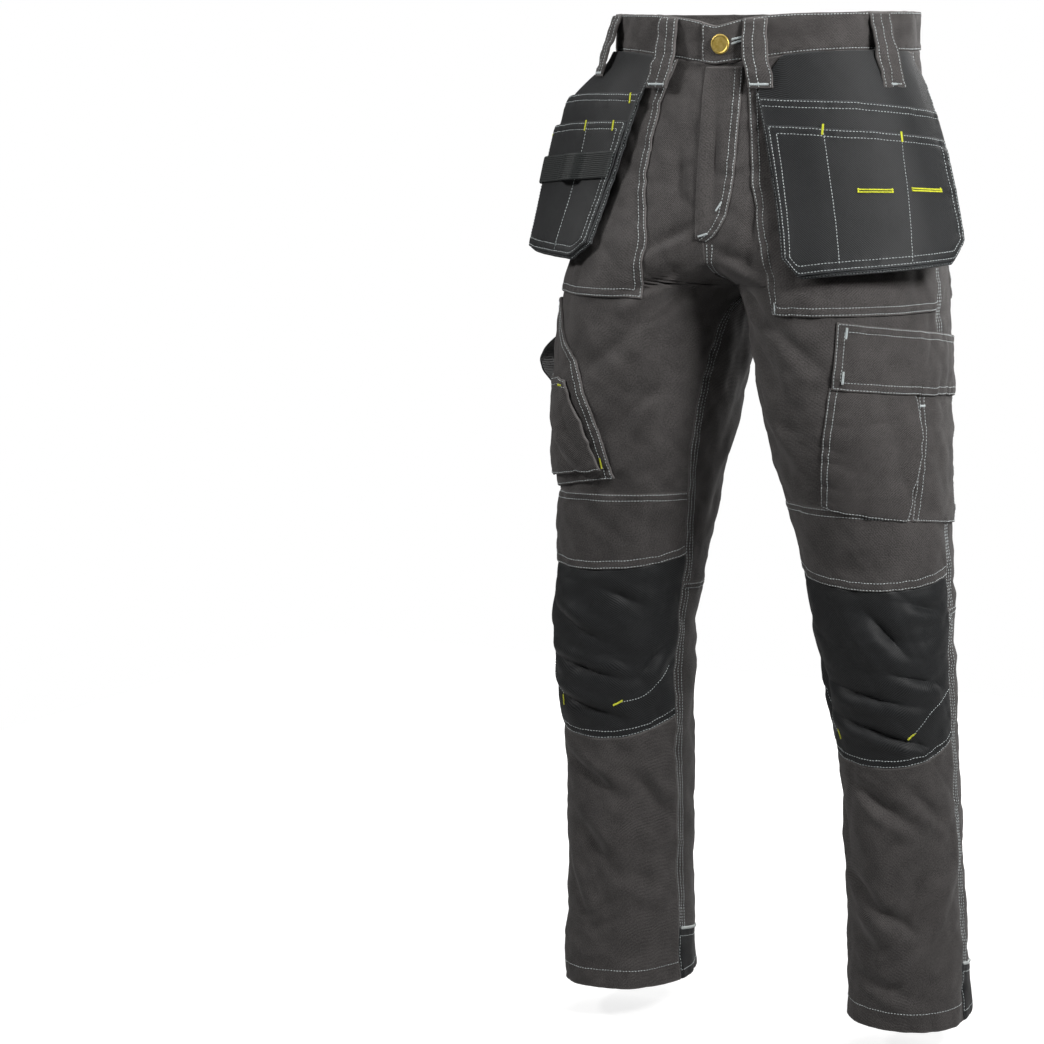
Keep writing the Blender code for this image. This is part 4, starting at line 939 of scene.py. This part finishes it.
# %% Patches
PATCH, SLACK = 0.0022, 0.0030
DOUBLE = (0.0020, 0.0088)
ALL_ROUND = {"top": DOUBLE, "foot": DOUBLE, "start": DOUBLE, "end": DOUBLE}


def rising(top, foot):
    return lambda a, d: top * (1 - d) + foot * d


def slit(a, d):
    """Lift of the cargo pocket's front part: its rear edge gapes over the slit, most half way down."""
    return PATCH + 0.0080 * np.clip((a - 0.72) / 0.28, 0, 1) ** 2 * np.sin(np.pi * d) ** 0.8


PATCHES = (     # name, side, outline rows (front w, z, rear w, z), size, lift, puff, rows of stitches
    ("front_patch_left", +1,
     ((0.190, -0.024, 0.003, -0.019), (0.197, -0.065, 0.003, -0.065), (0.211, -0.150, 0.003, -0.150),
      (0.213, -0.205, 0.003, -0.205), (0.210, -0.276, 0.003, -0.276)),
     (0.20, 0.25), SLACK, 0.0, {"start": DOUBLE, "foot": DOUBLE}),
    ("front_patch_right", -1,
     ((0.180, -0.024, 0.003, -0.019), (0.173, -0.070, 0.003, -0.070), (0.185, -0.140, 0.003, -0.140),
      (0.212, -0.205, 0.003, -0.205), (0.218, -0.264, 0.003, -0.262)),
     (0.20, 0.24), SLACK, 0.0, {"start": DOUBLE, "foot": DOUBLE}),
    ("cargo_pocket_front", +1,
     ((0.146, -0.345, 0.046, -0.354), (0.150, -0.400, 0.044, -0.400), (0.151, -0.468, 0.061, -0.482)),
     (0.10, 0.125), slit, 0.0030, {"start": DOUBLE, "foot": (0.0020,), "end": (0.0018,)}),
    ("cargo_pocket_rear", +1,
     ((0.042, -0.354, -0.076, -0.366), (0.040, -0.400, -0.070, -0.410), (0.056, -0.482, -0.044, -0.495)),
     (0.11, 0.125), PATCH, 0.0030, {"start": (0.0018, 0.0088), "foot": (0.0020,), "end": DOUBLE}),
    ("cargo_flap", +1, ((0.141, -0.281, -0.085, -0.308), (0.144, -0.347, -0.086, -0.369)),
     (0.23, 0.064), rising(PATCH, PATCH * 2 + 0.0008), 0.0020, ALL_ROUND),
    ("ruler_pocket", -1,
     ((0.080, -0.269, -0.080, -0.288), (0.140, -0.331, -0.076, -0.345), (0.155, -0.378, -0.070, -0.398),
      (0.163, -0.450, -0.052, -0.488)),
     (0.21, 0.19), SLACK, 0.0040, {"start": DOUBLE, "foot": (0.0020,), "end": DOUBLE}),
    ("ruler_pocket_lower", -1,
     ((0.128, -0.350, -0.060, -0.352), (0.143, -0.390, -0.058, -0.400), (0.151, -0.440, -0.046, -0.474)),
     (0.20, 0.11), SLACK + PATCH + 0.0040, 0.0, {"top": DOUBLE, "foot": (0.0020,)}),
    ("back_pocket_left", +1,
     ((-0.034, -0.126, -0.176, -0.124), (-0.040, -0.169, -0.188, -0.169), (-0.062, -0.220, -0.200, -0.220),
      (-0.087, -0.271, -0.211, -0.261)),
     (0.14, 0.145), PATCH, 0.0020, {"start": DOUBLE, "end": DOUBLE, "foot": DOUBLE}),
    ("back_pocket_left_flap", +1, ((-0.036, -0.084, -0.176, -0.083), (-0.020, -0.137, -0.178, -0.134)),
     (0.15, 0.052), rising(PATCH, PATCH * 2 + 0.0010), 0.0010, ALL_ROUND),
    ("back_pocket_right", -1,
     ((-0.057, -0.084, -0.192, -0.082), (-0.082, -0.172, -0.214, -0.167), (-0.116, -0.270, -0.233, -0.259)),
     (0.13, 0.185), PATCH, 0.0020, ALL_ROUND),
)
for number, (name, side, outline, size, lift, puff, rows) in enumerate(PATCHES):
    make_cloth(name, outline_place(side, outline), size, TWILL, "charcoal_twill", pitch=0.0030,
               lift=lift, puff=puff, rows=rows, held="laid", roll=0.0010, pull=0.00026, seed=70 + number)
print("patches:", len(PATCHES), "triangles:", sum(TRIANGLES.values()))

# %% [markdown]
# ## Holsters
#
# Two black pouches hang in front of the hips. They are sewn to the waist seam alone, so each one
# swings free at its sides and foot. Each has a backing and two pockets, one in front of the other.
# A pouch is read across by its share and down by its height: it starts on the cloth and moves
# towards its own foot line the further down it goes. Cloth simulation would hang it too, but the
# foot line is known from the solid, so the shape is set directly.

# %% Hung panels
HOLSTERS = {        # share of the width, w at the waist, and x and y of the foot line
    +1: np.array([(0.00, 0.186, 0.095, -0.166), (0.31, 0.128, 0.146, -0.157),
                  (0.67, 0.063, 0.208, -0.116), (1.00, 0.000, 0.243, -0.055)]),
    -1: np.array([(0.00, 0.160, 0.130, -0.152), (0.33, 0.108, 0.180, -0.128),
                  (0.70, 0.052, 0.226, -0.088), (1.00, 0.000, 0.248, -0.046)]),
}
HOLSTER_EDGES = {   # share, then heights of the top, the two mouths and the foot
    +1: np.array([(0.00, -0.062, -0.066, -0.093, -0.220), (0.11, -0.036, -0.067, -0.094, -0.240),
                  (0.22, -0.012, -0.068, -0.095, -0.238), (0.50, -0.012, -0.070, -0.099, -0.234),
                  (0.90, -0.012, -0.079, -0.108, -0.228), (1.00, -0.050, -0.082, -0.111, -0.205)]),
    -1: np.array([(0.00, -0.030, -0.062, -0.090, -0.212), (0.14, -0.012, -0.062, -0.090, -0.229),
                  (0.22, -0.012, -0.062, -0.090, -0.228), (0.50, -0.012, -0.064, -0.093, -0.226),
                  (0.90, -0.012, -0.070, -0.100, -0.222), (1.00, -0.050, -0.073, -0.103, -0.206)]),
}
HANG = {            # depth under the top, and how far it has swung out
    +1: np.array([(0.000, 0.00), (0.030, 0.22), (0.100, 0.60), (0.160, 0.82), (0.215, 1.00), (0.260, 1.10)]),
    -1: np.array([(0.000, 0.00), (0.014, 0.16), (0.030, 0.52), (0.046, 0.80), (0.075, 0.93),
                  (0.215, 1.00), (0.260, 1.02)]),
}
HOLSTER_LIFT, LAYER = 0.0056, 0.0024


def hung(side, share, z):
    """Cloth point under the holster, moved towards the foot line by the share it has swung out."""
    table = HOLSTERS[side]
    w = smooth(table, share, 1)
    base = cloth(side, w, z, TAUT_FORM)
    foot = cloth(side, w, np.full(w.shape, -0.235), TAUT_FORM)
    swing = np.stack([side * smooth(table, share, 2) - foot[..., 0],
                      smooth(table, share, 3) - foot[..., 1], 0 * w], axis=-1)
    return base + swing * smooth(HANG[side], -0.020 - z, 1)[..., None]


def holster_place(side, edge, inset):
    """Layer of a holster from one of its edges down to its foot, a little narrower layer by layer."""
    table = HOLSTER_EDGES[side]

    def at(a, d):
        share = inset + a * (1 - 2 * inset)
        top = np.interp(share, table[:, 0], table[:, edge])
        foot = np.interp(share, table[:, 0], table[:, 4]) + inset * 0.1
        w = smooth(HOLSTERS[side], share, 1)
        top = np.minimum(top, waist(w / half_length(0.0, True), "seam") - 0.0008)
        return hung(side, share, top * (1 - d) + foot * d)
    return at


def gaping(base, mouth):
    """A mouth stands off most in its middle, and the gape closes within a third of the depth."""
    return lambda a, d: base + mouth * np.sin(np.pi * a) ** 0.7 * np.clip(1 - d / 0.35, 0, 1) ** 2


SIDE_ROWS = (0.0024, 0.0095)
MOUTH_ROWS = {"top": (0.0020, 0.0085), "start": SIDE_ROWS, "end": SIDE_ROWS, "foot": SIDE_ROWS}
for side, tag in ((+1, "left"), (-1, "right")):
    width = 0.188 if side > 0 else 0.162
    make_cloth(f"holster_{tag}_backing", holster_place(side, 1, 0.0), (width, 0.20), OXFORD,
               "black_oxford", pitch=0.0034, lift=HOLSTER_LIFT, seed=90 + side, roll=0.0006,
               rows={"start": (0.0022,), "end": (0.0022,), "foot": (0.0014,)})
    make_cloth(f"holster_{tag}_upper", holster_place(side, 2, 0.012), (width, 0.16), OXFORD,
               "black_oxford", pitch=0.0034, lift=gaping(HOLSTER_LIFT + LAYER, 0.0015), seed=93 + side,
               rows={"top": (0.0020, 0.0085)})
    make_cloth(f"holster_{tag}_lower", holster_place(side, 3, 0.024), (width, 0.13), OXFORD,
               "black_oxford", pitch=0.0030, lift=gaping(HOLSTER_LIFT + LAYER * 2, 0.0030), puff=0.0010,
               seed=96 + side, rows=MOUTH_ROWS)
print("holsters:", [PIECES[f"holster_{t}_backing"]["flat"] for t in ("left", "right")])


# %% Webbing loops and straps
WEBBING_STATIONS = np.array([(0.03, 0.0), (0.20, 0.0), (0.27, 0.0), (0.30, 0.007), (0.36, 0.010),
                             (0.42, 0.007), (0.45, 0.0), (0.82, 0.0), (0.97, 0.0)])


def webbing_place(a, d):
    share = 0.03 + a * 0.94
    z = -0.130 - 0.012 * share + (0.5 - d) * 0.027
    lift = HOLSTER_LIFT + LAYER * 2 + 0.0046 + np.interp(share, *WEBBING_STATIONS.T)
    point = hung(-1, share, z)
    step = 0.02
    run = hung(-1, np.clip(share + step, 0, 1), z) - hung(-1, np.clip(share - step, 0, 1), z)
    out = np.cross(run, np.array([0.0, 0.0, 1.0]))
    out *= np.sign((out[..., :2] * point[..., :2]).sum())
    return point + out / np.linalg.norm(out, axis=-1, keepdims=True) * lift[..., None]


def round_place(side, z_middle, width, stations):
    """Band that leaves the cloth, runs round level and comes back: w and lift on a smooth curve."""
    table = np.array([(k / (len(stations) - 1), w, lift) for k, (w, lift) in enumerate(stations)])

    def at(a, d):
        w, lift = smooth(table, a, 1), smooth(table, a, 2)
        z = z_middle + (0.5 - d) * width
        return cloth(side, w, z) + level_out(side, w, z) * lift[..., None]
    return at


HAMMER_LOOP = ((-0.098, 0.0062), (-0.088, 0.0064), (-0.077, 0.0200), (-0.064, 0.0430), (-0.048, 0.0560),
               (-0.032, 0.0480), (-0.022, 0.0230), (-0.012, 0.0044), (-0.002, 0.0027))
TOOL_LOOP = ((-0.058, 0.0075), (-0.052, 0.0230), (-0.036, 0.0300), (-0.022, 0.0240), (-0.014, 0.0125),
             (-0.004, 0.0113))
for name, place, size, seed in (
        ("holster_webbing_right", webbing_place, (0.15, 0.027), 101),
        ("hammer_loop", round_place(-1, -0.151, 0.024, HAMMER_LOOP), (0.16, 0.024), 102),
        ("tool_loop", round_place(-1, -0.455, 0.020, TOOL_LOOP), (0.09, 0.020), 103),
        ("snap_strap", strip_place(-1, 0.020, 0.022, -0.306, -0.372, (0.0080, 0.0300, 0.0110)),
         (0.022, 0.09), 104)):
    make_cloth(name, place, size, WEBBING, "black_webbing", wall=0.0018, pitch=0.0028, roll=0.0005,
               pull=0.0, seed=seed)
print("all cloth:", len(PIECES), "triangles:", sum(TRIANGLES.values()))

# %% [markdown]
# ## Button and press stud
#
# The waist closes with a flat yellow metal button, and the strap on the right thigh with a small
# silver press stud. Both are turned parts: a profile spun round an axis. A modifier could spin
# the profile, but the whole grid of points is also just the profile times a circle.

# %% Turned parts
def turned(name, side, w, z, start, profile, finish, slot, turns=48):
    """Closed turned part: profile of radius and height, square to the cloth at (w, z). Its first
    and last rows lie on the axis, so each end is closed by triangles round one point."""
    centre = cloth(side, np.array([w]), np.array([z]))[0]
    out = level_out(side, np.array([w]), np.array([z]))[0]
    aside = np.cross(out, (0.0, 0.0, 1.0))
    profile = np.array(profile)
    angle = np.linspace(0, 2 * np.pi, turns, endpoint=False)
    circle = np.cos(angle)[:, None] * aside + np.sin(angle)[:, None] * np.array((0.0, 0.0, 1.0))
    radius, height = profile[1:-1].T
    points = (centre + out * (start + height)[:, None, None] + radius[:, None, None] * circle).reshape(-1, 3)
    poles = centre + out * (start + profile[[0, -1], 1])[:, None]
    ring = np.arange(len(points)).reshape(-1, turns)
    after = np.roll(ring, -1, axis=1)
    foot, top = np.full(turns, len(points)), np.full(turns, len(points) + 1)
    faces = np.concatenate([np.stack(corners, axis=-1).reshape(-1, 3) for corners in (
        (ring[:-1], ring[1:], after[1:]), (ring[:-1], after[1:], after[:-1]),
        (foot, ring[0], after[0]), (top, after[-1], ring[-1]))])
    thing = put_mesh("turned_" + name, np.concatenate([points, poles]), faces, finish)
    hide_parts(name)
    return thing


turned("waist_button", +1, float(half_length(-0.012, True)) - 0.007, -0.012, 0.0052,
       [(0.0, 0.0), (0.0062, 0.0), (0.0086, 0.0004), (0.0098, 0.0011), (0.0100, 0.0019), (0.0096, 0.0027),
        (0.0089, 0.0030), (0.0082, 0.0030), (0.0078, 0.0027), (0.0072, 0.0027), (0.0040, 0.0028),
        (0.0014, 0.0028), (0.0, 0.0028)], BRASS, "brass")
turned("snap_cap", -1, 0.020, -0.339, 0.0304,
       [(0.0, 0.0), (0.0056, 0.0), (0.0060, 0.0005), (0.0060, 0.0010), (0.0056, 0.0015), (0.0046, 0.0018),
        (0.0042, 0.0017), (0.0030, 0.0022), (0.0, 0.0024)], SILVER, "silver")
print("turned parts:", [n for n in TRIANGLES if n.startswith("turned")])

# %% [markdown]
# ## Sewing
#
# Pale thread runs along every edge and seam, two or three rows side by side, and bartacks of
# yellow or pale thread lock the corners that take a pull. A texture of dashes would be cheap, but
# raised thread catches the light and casts a small shadow, so each stitch is made.

# %% Rows along the edges
for name in PIECES:
    if PIECES[name]["rows"]:
        sew_rows(name, "pale")


def on_panel(side, front, top, bottom, w, z):
    """Shares on a front panel of the places (w, z)."""
    a = w / (section(z, "inseam") * half_length(z, True))
    upper, lower = seam_height(top, a), seam_height(bottom, a)
    return a, (upper - z) / (upper - lower)


def curve(points, count=60):
    """Smooth line through a few points, by equal steps of its number of points."""
    points = np.array(points) * 0.001
    table = np.column_stack([np.linspace(0, 1, len(points)), points])
    place = np.linspace(0, 1, count)
    return smooth(table, place, 1), smooth(table, place, 2)


# darts of the knee pads: they leave the side seam and the inseam and bend down towards the middle
DARTS = {
    +1: ((40, ((1, -660), (34, -676), (60, -702))), (118, ((178, -660), (170, -676), (157, -698), (144, -709)))),
    -1: ((60, ((36, -660), (48, -680), (60, -702))), (160, ((190, -660), (174, -676), (156, -690), (129, -698)))),
}
for side, tag in ((+1, "left"), (-1, "right")):
    for angle, line in DARTS[side]:
        w, z = curve(line)
        a, d = on_panel(side, True, "pad_top", "pad_bottom", w, z)
        inside = (a > 0.005) & (a < 0.985)
        sew(f"knee_pad_{tag}", a[inside], d[inside], "pale", pitch=0.0030)
        tack(f"knee_pad_{tag}", a[inside][-1], d[inside][-1], angle, 0.011)
for depth in (0.0022, 0.0075):
    height = np.linspace(-0.208, -0.249, 20)
    w = half_length(height, True) - depth
    a, d = on_panel(+1, True, "waist", "band_top", w, height)
    sew("front_thigh_left", a, d, "pale")
print("rows sewn:", sum(len(s) for s in SPINDLES["pale"]), "stitches")


# %% Dividers, slots and bartacks
def holster_line(side, edge, inset, shares, heights):
    """Shares on a holster layer of the places (share of the whole width, height)."""
    table = HOLSTER_EDGES[side]
    shares, heights = np.array(shares, float), np.array(heights, float) * 0.001
    top = np.interp(shares, table[:, 0], table[:, edge])
    foot = np.interp(shares, table[:, 0], table[:, 4]) + inset * 0.1
    return (shares - inset) / (1 - 2 * inset), (top - heights) / (top - foot)


def divider(side, layer, edge, inset, shares, heights):
    a, d = holster_line(side, edge, inset, np.linspace(*shares, 30), np.linspace(*heights, 30))
    keep = (d > 0.01) & (d < 0.985)
    sew(layer, a[keep], d[keep], "pale")


divider(+1, "holster_left_lower", 3, 0.024, (0.325, 0.335), (-96, -232))
divider(+1, "holster_left_lower", 3, 0.024, (0.695, 0.665), (-104, -226))
divider(-1, "holster_right_lower", 3, 0.024, (0.855, 0.790), (-102, -224))
divider(-1, "holster_right_lower", 3, 0.024, (0.335, 0.300), (-94, -222))
HOLSTER_TACKS = (   # side, layer, edge column, inset, share, height, angle, length
    (+1, "lower", 3, 0.024, 0.325, -98, 90, 0.010), (+1, "lower", 3, 0.024, 0.695, -107, 90, 0.010),
    (-1, "upper", 2, 0.012, 0.070, -67, 90, 0.010), (-1, "upper", 2, 0.012, 0.920, -77, 90, 0.010),
    (-1, "lower", 3, 0.024, 0.120, -95, 90, 0.010), (-1, "lower", 3, 0.024, 0.350, -96, 90, 0.010),
    (-1, "lower", 3, 0.024, 0.850, -104, 90, 0.010), (-1, "lower", 3, 0.024, 0.955, -108, 90, 0.009),
)
for side, layer, edge, inset, share, height, angle, length in HOLSTER_TACKS:
    name = f"holster_{'left' if side > 0 else 'right'}_{layer}"
    a, d = holster_line(side, edge, inset, [share], [height])
    tack(name, float(a[0]), float(d[0]), angle, length)
for first, last, height in ((0.455, 0.610, -158), (0.705, 0.865, -158)):      # slots for a clip
    a, d = holster_line(+1, 3, 0.024, [(first + last) / 2], [height])
    a, d = float(a[0]), float(d[0])
    span = (last - first) / 0.952
    length = span * PIECES["holster_left_lower"]["flat"][0]
    for drop in (-0.0014, 0.0014):
        tack("holster_left_lower", a, d + drop / PIECES["holster_left_lower"]["flat"][1], 0, length,
             width=0.0017)
    for end in (-0.5, 0.5):
        tack("holster_left_lower", a + end * span, d, 90, 0.0042, width=0.0018)
print("yellow stitches:", sum(len(s) for s in SPINDLES["yellow"]))

# %% Tacks on loops, flap and pockets, and the buttonhole
for name, *_ in BELT_LOOPS:
    tack(name, 0.5, 0.945, 0, 0.019, "pale", 0.0026)
for a, d, angle in ((0.045, 0.16, 90), (0.045, 0.80, 90), (0.955, 0.20, 90)):
    tack("cargo_flap", a, d, angle, 0.012, "pale", 0.0028)
tack("ruler_pocket", 0.04, 0.90, 90, 0.011, "yellow")
tack("ruler_pocket_lower", 0.05, 0.06, 0, 0.012, "yellow")
tack("front_patch_left", 0.03, 0.97, 90, 0.010, "pale")
tack("fly_placket", 0.28, 0.80, 60, 0.010, "pale")
tack("fly_placket", 0.55, 0.965, 20, 0.010, "pale")
tack("cargo_pocket_rear", 0.04, 0.10, 0, 0.011, "pale")
tack("back_pocket_left_flap", 0.04, 0.12, 90, 0.010, "pale")
tack("back_pocket_right", 0.05, 0.05, 0, 0.010, "pale")
tack("back_pocket_right", 0.95, 0.05, 0, 0.010, "pale")
band = PIECES["waistband_left"]
start = 1 - 0.0225 / band["flat"][0]
for drop in (-0.0020, 0.0020):
    tack("waistband_left", start - 0.014 / band["flat"][0], 0.50 + drop / 0.038, 0, 0.020, "pale", 0.0026)
tack("waistband_left", start - 0.0245 / band["flat"][0], 0.50, 90, 0.0070, "pale", 0.0030)
for colour in SPINDLES:
    if SPINDLES[colour]:
        finish_thread(colour)
print("all triangles:", sum(TRIANGLES.values()), "largest:", max(TRIANGLES, key=TRIANGLES.get),
      max(TRIANGLES.values()))

# %% [markdown]
# ## Studio and camera
#
# A product picture of dark cloth needs light that is broad enough to keep the shadows soft, and
# one-sided enough to show the folds. A large panel stands at the upper left, a weaker one at the
# right, and a pale floor lies a little under the hems. The camera stands in front and a little to
# the wearer's left, and its frame is shifted so that the trousers fill the right half.

# %% Floor and light
def make_floor(half=1.7, z=-1.060):
    mesh = bpy.data.meshes.new("studio_floor")
    mesh.from_pydata([(-half, -half, z), (half, -half, z), (half, half, z), (-half, half, z)], [], [(0, 1, 2, 3)])
    finish, tree, shader = start_finish("studio_white", 0.9)
    place = add(tree, "ShaderNodeTexCoord").outputs["Object"]
    grain = add(tree, "ShaderNodeTexNoise", {"Vector": place, "Scale": 3.0, "Detail": 2.0})
    ramp = add(tree, "ShaderNodeValToRGB", {"Fac": grain.outputs["Fac"]})
    ramp.color_ramp.elements[0].color, ramp.color_ramp.elements[1].color = (0.42, 0.42, 0.42, 1), (0.44, 0.44, 0.44, 1)
    tree.links.new(ramp.outputs["Color"], shader.inputs["Base Color"])
    away = add(tree, "ShaderNodeVectorMath", {0: place}, operation="LENGTH").outputs["Value"]
    glow = add(tree, "ShaderNodeMapRange", {"Value": away, "From Min": 0.9, "From Max": 1.5,
               "To Min": 0.72, "To Max": 1.1}).outputs["Result"]
    seen = add(tree, "ShaderNodeLightPath").outputs["Is Camera Ray"]
    power = add(tree, "ShaderNodeMath", {0: glow, 1: seen}, operation="MULTIPLY").outputs[0]
    shader.inputs["Emission Color"].default_value = (1.0, 1.0, 1.0, 1.0)
    shader.inputs["Specular IOR Level"].default_value = 0.0
    tree.links.new(power, shader.inputs["Emission Strength"])
    mesh.materials.append(finish)
    floor = bpy.data.objects.new("studio_floor", mesh)
    bpy.context.scene.collection.objects.link(floor)


def area_light(name, place, aim, size, power, colour=(1.0, 0.99, 0.98)):
    light = bpy.data.lights.new(name, "AREA")
    light.shape, light.size, light.energy, light.color = "DISK", size, power, colour
    lamp = bpy.data.objects.new(name, light)
    lamp.location = place
    lamp.visible_camera = False
    way = np.array(aim, float) - np.array(place, float)
    lamp.rotation_euler = (math.acos(-way[2] / np.linalg.norm(way)), 0, math.atan2(way[1], way[0]) - math.pi / 2)
    bpy.context.scene.collection.objects.link(lamp)


make_floor()
area_light("key", (-1.40, -1.10, 0.72), (0, 0, 0.60), 0.5, 24)
area_light("side", (1.65, -0.80, 0.66), (0, 0, 0.45), 0.6, 46)
area_light("top", (0, 0.2, 1.5), (0, 0.201, -1.0), 2.0, 20)
area_light("back", (0.6, 3.0, 1.0), (0, 0, -0.3), 1.6, 62)
world = bpy.data.worlds.new("studio")
bpy.context.scene.world = world
world.use_nodes = True
sky = world.node_tree
seen = add(sky, "ShaderNodeLightPath").outputs["Is Camera Ray"]
power = add(sky, "ShaderNodeMapRange", {"Value": seen, "To Min": 0.045, "To Max": 1.0}).outputs["Result"]
sky.nodes["Background"].inputs["Color"].default_value = (1.0, 1.0, 1.0, 1.0)
sky.links.new(power, sky.nodes["Background"].inputs["Strength"])
bpy.context.scene.view_settings.view_transform = "Standard"

# %% Camera
lens = bpy.data.cameras.new("camera")
lens.lens, lens.sensor_width = 2880 * 36 / 1044, 36
lens.shift_x, lens.shift_y = -0.2347, -0.0067
camera = bpy.data.objects.new("camera", lens)
camera.location = (3.0 * math.sin(math.radians(25)), -3.0 * math.cos(math.radians(25)), -0.05)
way = np.array((0, 0, -0.5)) - np.array(camera.location)
camera.rotation_euler = (math.acos(-way[2] / np.linalg.norm(way)), 0, math.atan2(way[1], way[0]) - math.pi / 2)
bpy.context.scene.collection.objects.link(camera)
bpy.context.scene.camera = camera
